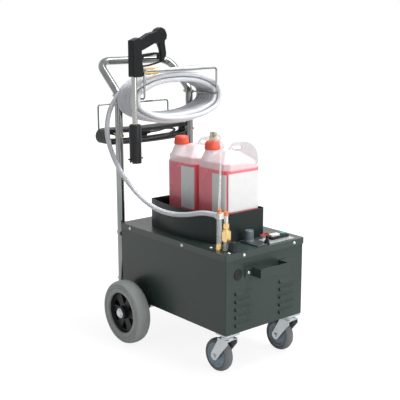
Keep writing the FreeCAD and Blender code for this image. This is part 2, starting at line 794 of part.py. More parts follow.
def caster_fork(side):
    """The zinc fork: bowl, crown and two legs that taper to the wheel bolt."""
    x, y = caster_place * side, -caster_front
    wheel_y = y + caster_trail
    name = f"caster_fork_{side_name(side)}"
    bowl = turned(f"{name}_bowl", "z", x, y, fork_top, [
        (bowl_across / 2 - 3.5, -fork_thick), (bowl_across / 2, -fork_thick),
        (bowl_across / 2, 5), (bowl_across / 2 - 3.5, 8)])
    crown = upright_box(f"{name}_crown", x - fork_half, y - bowl_across / 2, fork_top - fork_thick,
                        fork_half * 2, bowl_across, fork_thick, 4)
    reach = float(bowl_across) / 2
    trail, drop = float(caster_trail), float(fork_top) - float(caster_radius)
    leg = [(-reach, 0), (-reach, -14), (trail - 15, -drop - 3), (trail - 9, -drop - 11),
           (trail + 3, -drop - 13), (trail + 12, -drop - 5), (trail + 12, -drop + 4), (reach, -9), (reach, 0)]
    legs = [prism(f"{name}_leg_{end}", "YZ_Plane", [leg], fork_thick,
                  x=x + (fork_half - fork_thick / 2) * end, y=y, z=fork_top) for end in (-1, 1)]
    tools = [rod(f"{name}_pin_hole", "z", x, y, fork_top - fork_thick - 1, caster_bolt / 2 + 0.05,
                 fork_thick + 2),
             rod(f"{name}_bolt_hole", "x", x - fork_half - 1, wheel_y, caster_radius, axle_small / 2,
                 fork_half * 2 + 2)]
    return cut(f"{name}_frame", fuse(f"{name}_whole", [bowl, crown] + legs), tools)


def caster_axle(side):
    """The bolt and nut through the fork's legs."""
    x, y, z = caster_place * side, -caster_front + caster_trail, caster_radius
    name = f"caster_axle_{side_name(side)}"
    bolt = rod(f"{name}_bolt", "x", x - fork_half - 4, y, z, axle_small / 2, fork_half * 2 + 8)
    head = rod(f"{name}_head", "x", x - fork_half - 4, y, z, nut_across / 2, 4)
    end = nut(f"{name}_nut", "x", x + fork_half, y, z, nut_across, 5)
    return fuse(name, [bolt, head, end])


def caster_wheel(side):
    """The blue-grey rim with its tyre."""
    x, y, z = caster_place * side, -caster_front + caster_trail, caster_radius
    side_word = side_name(side)
    half = caster_width / 2
    hub = half + 1.5
    rim = turned(f"caster_rim_{side_word}", "x", x, y, z, [
        (axle_small / 2 + 0.05, -hub), (10, -hub), (12, -half + 6), (caster_rim - 8, -half + 6),
        (caster_rim - 4, -half + 2), (caster_rim, -half + 2), (caster_rim, half - 2),
        (caster_rim - 4, half - 2), (caster_rim - 8, half - 6), (12, half - 6), (10, hub),
        (axle_small / 2 + 0.05, hub)])
    tread = turned(f"caster_tyre_{side_word}", "x", x, y, z, [
        (caster_rim, -half + 2), (caster_radius - 8, -half), (caster_radius - 3, -half + 4),
        (caster_radius, -half + 11), (caster_radius, half - 11), (caster_radius - 3, half - 4),
        (caster_radius - 8, half), (caster_rim, half - 2)])
    keep(f"caster_rim_{side_word}", rim)
    keep(f"caster_tyre_{side_word}", tread)


keep("caster_plates", group("caster_plates", [caster_plate(side) for side in (-1, 1)]))
for side in (-1, 1):
    fork_name = f"caster_fork_{side_name(side)}"
    keep(fork_name, group(fork_name, [caster_fork(side), caster_axle(side)]))
    caster_wheel(side)


# Tray: a bin with a bowed left wall that stands on the lid and holds the two cans

def tray_outline(skin):
    """The tray's outline in plan, drawn in by skin, as lines and arcs."""
    back, front = float(tray_back) - skin, -float(tray_front) + skin
    right, left = float(tray_right) - skin, -float(tray_left) + skin
    bulge, corner = float(tray_bulge), float(tray_round)
    middle = vec(left - bulge, (back + front + corner) / 2, 0)
    rear_left, low_left = vec(left, back, 0), vec(left - 4, front + corner, 0)
    centre_turn = math.cos(math.pi / 4)
    turn = vec(left - 4 + corner * (1 - centre_turn), front + corner * (1 - centre_turn), 0)
    small = 12.0
    front_right = vec(right - small * (1 - centre_turn), front + small * (1 - centre_turn), 0)
    return [Part.Arc(rear_left, middle, low_left),
            Part.Arc(low_left, turn, vec(left - 4 + corner, front, 0)),
            Part.LineSegment(vec(left - 4 + corner, front, 0), vec(right - small, front, 0)),
            Part.Arc(vec(right - small, front, 0), front_right, vec(right, front + small, 0)),
            Part.LineSegment(vec(right, front + small, 0), vec(right, back, 0)),
            Part.LineSegment(vec(right, back, 0), rear_left)]


def tray_solid(name, skin, bottom, height):
    """A sketched pad of the tray's outline."""
    body = doc.addObject("PartDesign::Body", name)
    outline = body.newObject("Sketcher::SketchObject", f"{name}_outline")
    for curve in tray_outline(skin):
        outline.addGeometry(curve, False)
    pad = body.newObject("PartDesign::Pad", f"{name}_pad")
    pad.Profile = outline
    bind(pad, "Length", height)
    bind(body, "Placement.Base.z", bottom)
    return body


tray_outer = tray_solid("tray_outer", 0, lid_top, tray_height)
tray_inner = tray_solid("tray_inner", float(tray_wall), lid_top + tray_wall, tray_height)
tray_ring = tray_solid("tray_lip", float(tray_wall) - 1.4, lid_top + tray_height - 6, tray_height)
keep("tray", cut("tray", tray_outer, [tray_inner, tray_ring]))


# Cans: two square cans with a sloping shoulder, a neck at one corner and a diagonal handle

def can_hood(name, x, y, half, level, rise):
    """The sloping shoulder as a flat-topped pyramid."""
    hood = doc.addObject("Part::Wedge", name)
    top = half - can_slope
    bind(hood, "Xmin", -half)
    bind(hood, "Xmax", half)
    bind(hood, "Zmin", -half)
    bind(hood, "Zmax", half)
    bind(hood, "Ymax", rise)
    bind(hood, "X2min", -top)
    bind(hood, "X2max", top)
    bind(hood, "Z2min", -top)
    bind(hood, "Z2max", top)
    hood.Placement.Rotation = FreeCAD.Rotation(vec(1, 0, 0), 90)
    bind(hood, "Placement.Base.x", x)
    bind(hood, "Placement.Base.y", y)
    bind(hood, "Placement.Base.z", level)
    return hood


def can_form(name, x, y, skin):
    """The can's outer form, or its hollow where skin is the wall."""
    half = can_side / 2 - skin
    tall = can_top + 40
    trunk = upright_box(f"{name}_trunk", x - half, y - half, can_base + skin, half * 2, half * 2,
                        can_shoulder - skin, can_corner - skin)
    hood = can_hood(f"{name}_hood", x, y, half, can_base + can_shoulder - 0.01, can_top - can_shoulder - skin)
    column = upright_box(f"{name}_column", x - half, y - half, can_base, half * 2, half * 2, tall,
                         can_corner - skin)
    shoulder, top = float(can_shoulder), float(can_top)
    inset = float(skin)
    ridge = [(-12 + inset, shoulder - 20), (-12 + inset, top + 16 - inset),
             (45 - inset, top + 28 - inset), (62 - inset, top + 20 - inset),
             (97 - inset, shoulder + 3 - inset), (97 - inset, shoulder - 20)]
    handle = prism(f"{name}_handle", "XZ_Plane", [ridge], can_grip - skin * 2, x=x, y=y, z=can_base)
    handle.Placement.Rotation = FreeCAD.Rotation(vec(0, 0, 1), -45)
    if inset:
        eye = can_eye(f"{name}_eye", x, y, inset, can_grip)
        handle = cut(f"{name}_handle_hollow", handle, [eye])
    clipped = doc.addObject("Part::MultiCommon", f"{name}_clipped")
    clipped.Shapes = [fuse(f"{name}_upper", [hood, handle]), column]
    neck = rod(f"{name}_neck", "z", x - neck_place, y + neck_place, can_base + can_shoulder,
               neck_across / 2 - skin, can_top - can_shoulder + cap_height - 5 + skin * 4)
    return fuse(name, [trunk, clipped, neck])


def can_eye(name, x, y, grow, across):
    """The finger hole through the handle."""
    top = float(can_top)
    low, high = top - 1 - grow, top + 14 + grow
    near, far = 1 - grow, 35 + grow
    outline = [(near, low + 4), (near + 4, low), (far - 4, low), (far, low + 4),
               (far, high - 3), (far - 3, high), (near + 3, high), (near, high - 3)]
    eye = prism(name, "XZ_Plane", [outline], across + 20, x=x, y=y, z=can_base)
    eye.Placement.Rotation = FreeCAD.Rotation(vec(0, 0, 1), -45)
    return eye


def can(number, y, hole):
    """One can with what is in it and its screw cap, which has a hole of that radius for the dip tube."""
    x = can_across
    name = f"can_{number}"
    form = can_form(f"{name}_form", x, y, 0)
    hollow = can_form(f"{name}_hollow", x, y, can_wall)
    keep(f"{name}_body", cut(f"{name}_body", form, [hollow, can_eye(f"{name}_grip_eye", x, y, 0, can_grip)]))
    half = can_side / 2 - can_wall - play / 3
    liquid = upright_box(f"{name}_liquid", x - half, y - half, can_base + can_wall, half * 2, half * 2,
                         can_fill - can_wall, can_corner - can_wall - play / 3)
    cap = turned(f"{name}_cap", "z", x - neck_place, y + neck_place, can_base + can_top, [
        (neck_across / 2 + 0.06, 0), (cap_across / 2, 0), (cap_across / 2, 4), (cap_across / 2 - 1, 5),
        (cap_across / 2 - 1, cap_height - 2), (cap_across / 2 - 3, cap_height), (hole, cap_height),
        (hole, cap_height - 3), (neck_across / 2 + 0.06, cap_height - 3)])
    return liquid, cap


can_base = lid_top + tray_wall
can_1_y = (tray_back - tray_front) / 2 + (can_side + can_gap) / 2 - 11
can_2_y = can_1_y - can_side - can_gap
liquid_1, cap_1 = can(1, can_1_y, 0)
keep("can_1_liquid", liquid_1)
keep("can_1_cap", cap_1)

# The front can has a dip tube through its cap, with a strainer foot and a brass elbow on top
dip_x = can_across - neck_place
dip_y = can_2_y + neck_place
cap_top = can_base + can_top + cap_height
liquid_2, cap_2 = can(2, can_2_y, dip_across / 2 + 0.05)
dip_low = can_base + can_wall + 4
dip_hole = rod("dip_hole", "z", dip_x, dip_y, dip_low - 1, 7 + play, can_fill)
keep("can_2_liquid", cut("can_2_liquid", liquid_2, [dip_hole]))
keep("can_2_cap", cap_2)
dip = rod("dip_long", "z", dip_x, dip_y, dip_low, dip_across / 2, cap_top - dip_low)
strainer = rod("dip_strainer", "z", dip_x, dip_y, dip_low, 7, 22)
dip_bore = rod("dip_bore", "z", dip_x, dip_y, dip_low + 10, dip_across / 2 - 1.5, cap_top - dip_low)
dip_tube = cut("dip_tube", fuse("dip_whole", [dip, strainer]), [dip_bore])

elbow_body = nut("elbow_body", "z", dip_x, dip_y, cap_top, 17, 12)
elbow_top = rod("elbow_top", "z", dip_x, dip_y, cap_top + 12, 7, 14)
elbow_arm = rod("elbow_arm", "-y", dip_x, dip_y, cap_top + 19, 6, 16)
elbow_nut = nut("elbow_nut", "-y", dip_x, dip_y - 9, cap_top + 19, 14, 7)
elbow_bore = rod("elbow_bore", "z", dip_x, dip_y, cap_top - 1, dip_across / 2 - 1.5, 20)
elbow = cut("elbow", fuse("elbow_whole", [elbow_body, elbow_top, elbow_arm, elbow_nut]), [elbow_bore])
keep("suction_fitting", group("suction_fitting", [dip_tube, elbow]))


# Gun: one moulded body with grip, strut and guard, a trigger on a cross pin, lance and nozzle.
# Its outlines are in its own plane, across from gun_side and up from gun_low.

def gun_prism(name, outline, thickness, y):
    return prism(name, "XZ_Plane", [outline], thickness, x=-gun_side, y=y, z=gun_low)


gun_y = gun_front
lance_x = -gun_side - 8
trunk = gun_prism("gun_trunk", [(-18, 3), (-15, 0), (15, 0), (18, 6), (18, 27), (15, 38), (13, 76),
                                (9, 107), (5, 114), (-17, 106)], gun_thick, gun_y)
grip = gun_prism("gun_grip", [(5, 105), (28, 117), (46, 126), (69, 131), (76, 138), (88, 143), (99, 138),
                              (105, 129), (108, 120), (106, 108), (82, 94), (78, 97), (71, 99), (59, 95),
                              (39, 86), (10, 74)], gun_thick - 4, gun_y)
strut = gun_prism("gun_strut", [(80, 100), (107, 116), (104, 98), (106, 85), (109, 68), (108, 59), (104, 52),
                                (101, 46), (89, 46), (90, 54), (89, 71), (87, 80), (82, 91)],
                  gun_thick / 2, gun_y)
guard = gun_prism("gun_guard", [(14, 33), (23, 33), (47, 35), (72, 40), (91, 46), (94, 51), (104, 52),
                                (100, 43), (91, 40), (72, 35), (47, 30), (23, 28), (14, 28)],
                  gun_thick / 4, gun_y)
slot = gun_prism("gun_slot", [(2, 45), (20, 40), (20, 82), (2, 74)], trigger_thick + 1, gun_y)
pin_hole = rod("gun_pin_hole", "y", trigger_x, gun_y - gun_thick, trigger_z, trigger_pin / 2, gun_thick * 2)
lance_hole = rod("gun_lance_hole", "z", lance_x, gun_y - 2, gun_low - 1, lance_across / 2, 21)
inlet_hole = rod("gun_inlet_hole", "x", -gun_side + 4, gun_y + 15, inlet_level, inlet_across / 2, 40)
lug = rod("gun_lug", "x", -gun_side - 4, gun_y + 15, inlet_level, 10, 22)
gun_body = cut("gun_body", fuse("gun_whole", [trunk, grip, strut, guard, lug]),
               [slot, pin_hole, lance_hole, inlet_hole])

lever_outer = gun_prism("trigger_outer", [(10, 50), (47, 50), (68, 50), (80, 48), (85, 54), (86, 64),
                                          (82, 69.5), (70, 70), (47, 68), (10, 64)], trigger_thick, gun_y)
lever_inner = gun_prism("trigger_inner", [(26, 54), (47, 54), (69, 54), (79, 52.5), (80.5, 57), (80, 62),
                                          (70, 63), (47, 60), (26, 57)], trigger_thick + 2, gun_y)
lever_boss = rod("trigger_boss", "y", trigger_x, gun_y - trigger_thick / 2, trigger_z, 7, trigger_thick)
lever_bore = rod("trigger_bore", "y", trigger_x, gun_y - trigger_thick, trigger_z, trigger_pin / 2 + 0.05,
                 trigger_thick * 2)
keep("trigger", cut("trigger", fuse("trigger_whole", [lever_outer, lever_boss]), [lever_inner, lever_bore]))
pin = rod("gun_pin", "y", trigger_x, gun_y - gun_thick / 2, trigger_z, trigger_pin / 2, gun_thick)
keep("gun_body", group("gun_body_with_pin", [gun_body, pin]))

lance_y = gun_y - 2
lance = rod("lance_outer", "z", lance_x, lance_y, lance_low, lance_across / 2, gun_low + 20 - lance_low)
lance_bore = rod("lance_bore", "z", lance_x, lance_y, lance_low - 1, lance_across / 2 - 2,
                 gun_low + 22 - lance_low)
keep("lance", cut("lance", lance, [lance_bore]))

nozzle_radius = nozzle_across / 2
nozzle_length = nozzle_top - nozzle_low
nozzle_form = turned("nozzle_form", "z", lance_x, lance_y, nozzle_low, [
    (nozzle_radius - 3, 0), (nozzle_radius - 1, 0), (nozzle_radius - 1, 62), (nozzle_radius, 66),
    (nozzle_radius, nozzle_length - 6), (nozzle_radius - 3, nozzle_length),
    (lance_across / 2 + 0.05, nozzle_length), (lance_across / 2 + 0.05, nozzle_length - 40),
    (nozzle_radius - 3, nozzle_length - 46)])
notch = box("nozzle_notch", lance_x - nozzle_radius, lance_y - 6, nozzle_low - 1, nozzle_across, 12, 8)
cross_hole = rod("nozzle_cross_hole", "x", lance_x - nozzle_radius, lance_y, nozzle_low + 13, 2.5,
                 nozzle_across)
cross_pin = rod("nozzle_pin", "x", lance_x - 26, lance_y, nozzle_low + 13, 2.5, 52)
keep("nozzle", group("nozzle", [cut("nozzle_shell", nozzle_form, [notch, cross_hole]), cross_pin]))

inlet = rod("inlet_stub", "x", -gun_side + 4, gun_y + 15, inlet_level, inlet_across / 2, 65)
inlet_nut = nut("inlet_nut", "x", -gun_side + 41, gun_y + 15, inlet_level, 19, 26)
inlet_collar = rod("inlet_collar", "x", -gun_side + 67, gun_y + 15, inlet_level, 10, 24)
inlet_bore = rod("inlet_bore", "x", -gun_side + 3, gun_y + 15, inlet_level, 3, 90)
keep("gun_inlet", cut("gun_inlet", fuse("inlet_whole", [inlet, inlet_nut, inlet_collar]), [inlet_bore]))


# Controls on the lid's front end

def stack(name, x, y, steps):
    """Round or hexagonal lengths one on another: (shape, across, height) from the lid up."""
    items = []
    level = 0
    for number, (shape, across, height) in enumerate(steps):
        if shape == "gap":
            level = level + height
            continue
        make = nut if shape == "hex" else rod
        size = across if shape == "hex" else across / 2
        items.append(make(f"{name}_{number}", "z", x, y, lid_top + level, size, height))
        level = level + height
    return fuse(name, items) if len(items) > 1 else items[0]


meter_x, meter_y = -meter_place, -meter_front
meter_bore = rod("meter_bore", "z", meter_x, meter_y, lid_top + 6, meter_across / 2 - 2.5, 110)
meter_foot = cut("meter_foot", stack("meter_foot_whole", meter_x, meter_y, [
    ("hex", 19, 8), ("round", 18, 10), ("round", 14, 3)]), [meter_bore])
tube_bore = rod("meter_tube_bore", "z", meter_x, meter_y, lid_top + 20, meter_across / 2 - 2, meter_tube + 2)
tube = rod("meter_tube_outer", "z", meter_x, meter_y, lid_top + 21, meter_across / 2, meter_tube)
keep("meter_tube", cut("meter_tube", tube, [tube_bore]))
block_low = lid_top + 21 + meter_tube
block_outer = box("block_outer", meter_x - 8, meter_y - 9, block_low, 26, 18, block_height)
block_side = rod("block_side", "y", meter_x + 2, meter_y + 9, block_low + block_height / 2, 9, 6)
block_neck = rod("block_neck", "z", meter_x, meter_y, block_low + block_height, 6, 2)
block_bore = rod("block_bore", "z", meter_x, meter_y, block_low + 3, 3.5, block_height)
fitting_block = cut("fitting_block", fuse("block_whole", [block_outer, block_side, block_neck]), [block_bore])

stack_x, stack_y = -stack_place, -stack_front
white_bore = rod("white_bore", "z", stack_x, stack_y, lid_top + 4, 3, 120)
lower_sleeve = cut("lower_sleeve", stack("lower_sleeve_whole", stack_x, stack_y, [
    ("round", 18, 4), ("round", 14, 22)]), [white_bore])
regulator = cut("regulator", stack("regulator_whole", stack_x, stack_y, [
    ("gap", 0, 26), ("round", 20, 4), ("hex", 25, 26), ("round", 21, 5), ("round", 12, 3),
    ("hex", 16, 13), ("round", 10, 3)]), [white_bore])
keep("brass_fittings", group("brass_fittings", [meter_foot, regulator]))
upper_low = lid_top + 80
sleeve = rod("upper_sleeve_outer", "z", stack_x, stack_y, upper_low, 6, 20)
upper_sleeve = cut("upper_sleeve", sleeve, [white_bore])
keep("white_fittings", group("white_fittings", [fitting_block, lower_sleeve, upper_sleeve]))
ring_outline = [(suction_across / 2, 0), (7, 0), (7, 3), (5.8, 4), (5.8, 9), (6.6, 11),
                (suction_across / 2, 11)]
keep("push_in_rings", group("push_in_rings", [
    turned("ring_meter", "z", meter_x, meter_y, block_low + block_height + 2, ring_outline),
    turned("ring_stack", "z", stack_x, stack_y, upper_low + 20, ring_outline)]))


def knob(name, x, y, base, across, height, skirt, spindle):
    """A turned knob with a skirt, on a spindle."""
    grip_part = turned(f"{name}_form", "z", x, y, base, [
        (spindle + 0.05, 0), (across / 2 + skirt, 0), (across / 2 + skirt, 3), (across / 2, 4),
        (across / 2 - 0.8, height - 1.5), (across / 2 - 2.5, height), (0, height), (0, 10),
        (spindle + 0.05, 10)])
    flutes = [rod(f"{name}_flute_{number}", "z", x + flute_x(across, number), y + flute_y(across, number),
                  base + 5, 1.6, height) for number in range(8)]
    return cut(name, grip_part, flutes)


def flute_x(across, number):
    return (float(across) / 2 + 0.6) * math.cos(math.radians(45 * number))


def flute_y(across, number):
    return (float(across) / 2 + 0.6) * math.sin(math.radians(45 * number))


grey_x, grey_y = -grey_place, -grey_front
black_x, black_y = -black_place, -black_front
keep("grey_knob", knob("grey_knob", grey_x, grey_y, lid_top + 5 + play, grey_across, 33, 1.5, spindle))
keep("black_knob", knob("black_knob", black_x, black_y, lid_top + 3 + play, black_across, 25.5, 0.5, spindle))
base_plate = upright_box("knob_base_outer", grey_x - 17, -wall_y + 3, lid_top, 40, 76, 5, 3)
knob_base = cut("knob_base", base_plate, [
    rod("knob_base_hole", "z", grey_x, grey_y, lid_top - 1, spindle, 10),
    rod("knob_base_pocket", "z", lever_x, lever_y, lid_top - 1, 9, 10)])
collar = rod("black_collar", "z", black_x, black_y, lid_top, 9, 3)
knob_collar = cut("knob_collar", collar, [
    rod("black_collar_hole", "z", black_x, black_y, lid_top - 1, spindle, 5)])


def valve_below(name, x, y, base):
    """A valve body under the lid with its spindle up through it."""
    body = rod(f"{name}_body", "z", x, y, lid_under - 34, 14, 34)
    port = rod(f"{name}_port", "x", x - 24, y, lid_under - 22, 7, 48)
    stem = rod(f"{name}_stem", "z", x, y, lid_under - 1, spindle, base + 10 - lid_under + 1)
    return fuse(name, [body, port, stem])


valves = [valve_below("dosing_valve", grey_x, grey_y, lid_top + 5),
          valve_below("air_valve", black_x, black_y, lid_top + 3)]

stem_body = rod("valve_stem_body", "z", lever_x, lever_y, lid_top, 7.5, 12)
stem_top = rod("valve_stem_top", "z", lever_x, lever_y, lid_top + 12, 4, 12)
stem_spindle = rod("valve_stem_spindle", "z", lever_x, lever_y, lid_top + 24, spindle, 8)
valves.append(fuse("valve_stem", [stem_body, stem_top, stem_spindle]))
keep("lid_valves", group("lid_valves", valves))
arm = upright_box("red_lever_arm", lever_x - 28, lever_y - 4.5, lever_base, 33, 9, 4, 4)
lever_hub = rod("red_lever_hub", "z", lever_x, lever_y, lever_base, 7, 7)
keep("red_lever", cut("red_lever", fuse("red_lever_whole", [arm, lever_hub]), [
    rod("red_lever_bore", "z", lever_x, lever_y, lever_base - 1, spindle + 0.05, 10)]))

plate = upright_box("switch_plate_outer", plate_left, -wall_y + 7, lid_top, plate_length, plate_width, 2, 4)
switch_plate_hole = box("switch_plate_hole", block_left + 3, block_front + 3, lid_top - 1,
                        block_length - 6, block_width - 6, 4)
switch_plate = cut("switch_plate", plate, [switch_plate_hole])
keep("control_plates", group("control_plates", [knob_base, knob_collar, switch_plate]))
switch_low = lid_under - 30
block = upright_box("switch_block_top", block_left, block_front, lid_top + 2, block_length, block_width, 8, 3)
under = box("switch_block_under", block_left + 4, block_front + 4, switch_low, block_length - 8,
            block_width - 8, lid_top + 4 - switch_low)
wells = [box("switch_well_white", block_left + 5, block_front + 6, lid_top - 4, 34, block_width - 12, 20),
         box("switch_well_green", block_left + 44, block_front + 6, lid_top - 4, 21, block_width - 12, 20)]
keep("switch_block", cut("switch_block", fuse("switch_block_whole", [block, under]), wells))
button_gap = 2 * play
keep("white_button", upright_box("white_button", block_left + 5 + button_gap, block_front + 6 + button_gap,
                                 lid_top, 34 - button_gap * 2, block_width - 12 - button_gap * 2, 15, 3))
keep("green_button", upright_box("green_button", block_left + 44 + button_gap, block_front + 6 + button_gap,
                                 lid_top, 21 - button_gap * 2, block_width - 12 - button_gap * 2, 14, 3))


# What the housing holds: pump and motor on a base with rubber feet, joined to the controls

foot_places = [(x, y) for x in (-75, 75) for y in (-60, 150)]
rubber_feet = [rod(f"rubber_foot_{number}", "z", x, y, housing_floor + sheet_steel, 14, foot_tall)
               for number, (x, y) in enumerate(foot_places)]
base_low = housing_floor + sheet_steel + foot_tall
keep("motor_base", group("motor_base", [box("base_plate", -95, -85, base_low, 190, 260, 4)] + rubber_feet))
motor_z = base_low + 4 + 10 + motor_across / 2
barrel = rod("motor_barrel", "y", 0, 20, motor_z, motor_across / 2, motor_length)
cradle = box("motor_cradle", -42, 40, base_low + 4, 84, motor_length - 50, 40)
terminal = box("motor_terminal", -30, 60, motor_z + motor_across / 2 - 10, 60, 60, 34)
shaft_hole = rod("motor_shaft_hole", "y", 0, 19, motor_z, shaft_across / 2 + 0.05, motor_length + 2)
motor = cut("motor_body", fuse("motor_whole", [barrel, cradle, terminal]), [shaft_hole])
fan_y = 20 + motor_length


def blade_outline(number):
    """One straight radial blade of the fan."""
    turn = math.radians(60 * number)
    across, along = vec(-math.sin(turn), math.cos(turn), 0), vec(math.cos(turn), math.sin(turn), 0)
    near, far = 12, float(motor_across) / 2 - 7
    corners = [along * near - across, along * far - across, along * far + across, along * near + across]
    return [(corner.x, corner.y) for corner in corners]


shaft = rod("motor_shaft", "y", 0, 2, motor_z, shaft_across / 2, motor_length + 38)
fan_hub = rod("fan_hub", "y", 0, fan_y + 3, motor_z, 16, 16)
blades = [prism(f"fan_blade_{number}", "XZ_Plane", [blade_outline(number)], 14, y=fan_y + 11, z=motor_z)
          for number in range(6)]
keep("motor_fan", fuse("motor_fan", [shaft, fan_hub] + blades))
cover = turned("fan_cover", "y", 0, fan_y, motor_z, [
    (motor_across / 2 - 4, 0), (motor_across / 2, 0), (motor_across / 2, 28), (24, 28), (24, 26),
    (motor_across / 2 - 2, 26), (motor_across / 2 - 2, 2), (motor_across / 2 - 4, 2)])
keep("motor", group("motor", [motor, cover]))
pump_body = box("pump_body", -45, -62, motor_z - 42, 90, 82, 84)
pump_front = rod("pump_front", "y", 0, -76, motor_z, 30, 14)
pump_port = rod("pump_port", "z", 0, -20, motor_z + 42, 12, 16)
pump_foot = box("pump_foot", -40, -50, base_low + 4, 80, 50, motor_z - 42 - base_low - 4)
pump_bore = rod("pump_bore", "y", 0, -10, motor_z, shaft_across / 2 + 0.05, 31)
keep("pump_head", cut("pump_head", fuse("pump_whole", [pump_body, pump_front, pump_port, pump_foot]),
                      [pump_bore]))


# Pipe from the pump to the flow meter and the cable from the gland to the motor, inside the housing

inner_port = motor_z + 42 + 16
pipe_points = [vec(0, -20, inner_port), vec(0, -20, inner_port + 20), vec(-36, -62, inner_port + 40),
               vec(-84, -128, inner_port + 42), vec(-124, -188, inner_port + 44),
               vec(meter_x, meter_y, lid_top - 22), vec(meter_x, meter_y, lid_top)]
pipe_radii = [16, 50, 90, 24, 16]
pump_pipe = swept("pump_pipe", bent_path(pipe_points, pipe_radii), meter_across / 2 - 3)


# Cords: tubes of straight runs and arcs, as large as the runs allow

def cord(name, points, across):
    """A tube along hand-chosen points, with its radii, length and volume printed."""
    points = [vec(*[float(value) for value in point]) for point in points]
    radii = []
    for before, corner, after in zip(points, points[1:], points[2:]):
        turn = (corner - before).getAngle(after - corner)
        radii.append(0.45 * min((corner - before).Length, (after - corner).Length) / math.tan(turn / 2))
    path = bent_path(points, radii)
    tube = swept(name, path, across / 2)
    doc.recompute()
    share = tube.Shape.Volume / (math.pi * (float(across) / 2) ** 2 * path.Length)
    print(name, "radii", [round(radius) for radius in radii], "length", round(path.Length),
          "volume share", round(share, 4))
    return tube


def biarc(start, start_way, end, end_way, leg=None):
    """Two tangent arcs from one point and direction to another, with equal legs if none is given."""
    span = end - start
    ways = start_way + end_way
    spread = 2 * (1 - start_way.dot(end_way))
    along = span.dot(ways)
    first = leg or (-along + math.sqrt(along ** 2 + spread * span.dot(span))) / spread
    rest = span - start_way * first
    second = (rest.dot(rest) - first ** 2) / (2 * (first + rest.dot(end_way)))
    joint = ((start + start_way * first) * second + (end - end_way * second) * first) * (1 / (first + second))
    return [tangent_arc(start, start_way, joint), tangent_arc(joint, joint - start - start_way * first, end)]


def tangent_arc(start, way, end):
    """The arc that leaves start along way and reaches end."""
    chord = end - start
    way = vec(way).normalize()
    side = (chord - way * chord.dot(way)).normalize()
    radius = chord.dot(chord) / (2 * chord.dot(side))
    centre = start + side * radius
    middle = centre + ((start + end) * 0.5 - centre).normalize() * radius
    if chord.dot(way) < 0:
        middle = centre * 2 - middle
    return Part.Arc(start, middle, end).toShape()


def straight(start, end):
    return Part.LineSegment(start, end).toShape()


def self_gap(path, across, loop):
    """The least clear distance between different turns of a coil, measured on points of its path."""
    count = int(path.Length / 3)
    samples = path.discretize(Number=count)
    skip = int(loop / 3 / 3)
    cells = {}
    for number, point in enumerate(samples):
        cells.setdefault((int(point.x // 24), int(point.y // 24), int(point.z // 24)), []).append(number)
    least = 1000.0
    for (cx, cy, cz), members in cells.items():
        near = [number for a in (-1, 0, 1) for b in (-1, 0, 1) for c in (-1, 0, 1)
                for number in cells.get((cx + a, cy + b, cz + c), [])]
        for number in members:
            for other in near:
                if other - number > skip:
                    least = min(least, samples[number].distanceToPoint(samples[other]))
    return least - float(across)


def coil(name, edges, across, loop):
    path = Part.Wire(edges)
    tube = swept(name, path, across / 2)
    doc.recompute()
    share = tube.Shape.Volume / (math.pi * (float(across) / 2) ** 2 * path.Length)
    print(name, "length", round(path.Length), "volume share", round(share, 4),
          "self gap", round(self_gap(path, across, loop), 2))
    keep(name, tube)


# Hose coil: an oval coil of two layers round the front hook's arms, its axis along Y

hose_step = float(hose_across + hose_gap)
hose_back = 246.0
hose_turns = 6.5
lay = math.radians(20)
flat_reach = float(coil_half - coil_rise) / (math.cos(lay) + math.sin(lay) - 1)
end_radius = float(coil_half) - flat_reach * math.sin(lay)
top_radius = float(coil_rise) + flat_reach * math.cos(lay)
quarter_length = top_radius * lay + end_radius * (math.pi / 2 - lay)


def hose_growth(turns):
    """How far the coil has grown: nothing in the inner layer, one step in the outer."""
    return hose_step * min(1.0, max(0.0, (turns - hose_turns + 0.25) * 2))


def hose_place(quarter):
    """The place and direction of the hose after a number of quarter turns from the top at the back."""
    turns = quarter / 4
    grown = hose_growth(turns)
    sine, cosine = [(0, 1), (-1, 0), (0, -1), (1, 0)][quarter % 4]
    forward = hose_step * (turns if turns < hose_turns else 2 * hose_turns - turns)
    lead = 0.0 if turns == hose_turns else math.copysign(hose_step / 4 / quarter_length, turns - hose_turns)
    place = vec((float(coil_half) + grown) * sine, hose_back - forward,
                float(coil_level) + (float(coil_rise) + grown) * cosine)
    return place, vec(-cosine, lead, sine).normalize()


hose_start, hose_first = hose_place(0)
hose_lead = hose_start + vec(16, 0, 0)
hose_edges = [straight(hose_lead, hose_start)]
for quarter in range(48):
    (here, way), (there, next_way) = hose_place(quarter), hose_place(quarter + 1)
    if quarter == 0:
        way = vec(-1, 0, 0)
    if quarter == 47:
        next_way = vec(-1, 0, 0)
    grown = hose_growth(quarter / 4 + 0.125)
    long_leg = (top_radius + grown) * math.tan(lay / 2)
    short_leg = (end_radius + grown) * math.tan(math.pi / 4 - lay / 2)
    hose_edges += biarc(here, way, there, next_way, long_leg if quarter % 2 == 0 else short_leg)
hose_out = hose_place(48)[0]
hose_end = hose_out + vec(-16, 0, 0)
hose_edges.append(straight(hose_out, hose_end))
coil("hose_coil", hose_edges, hose_across, 800)

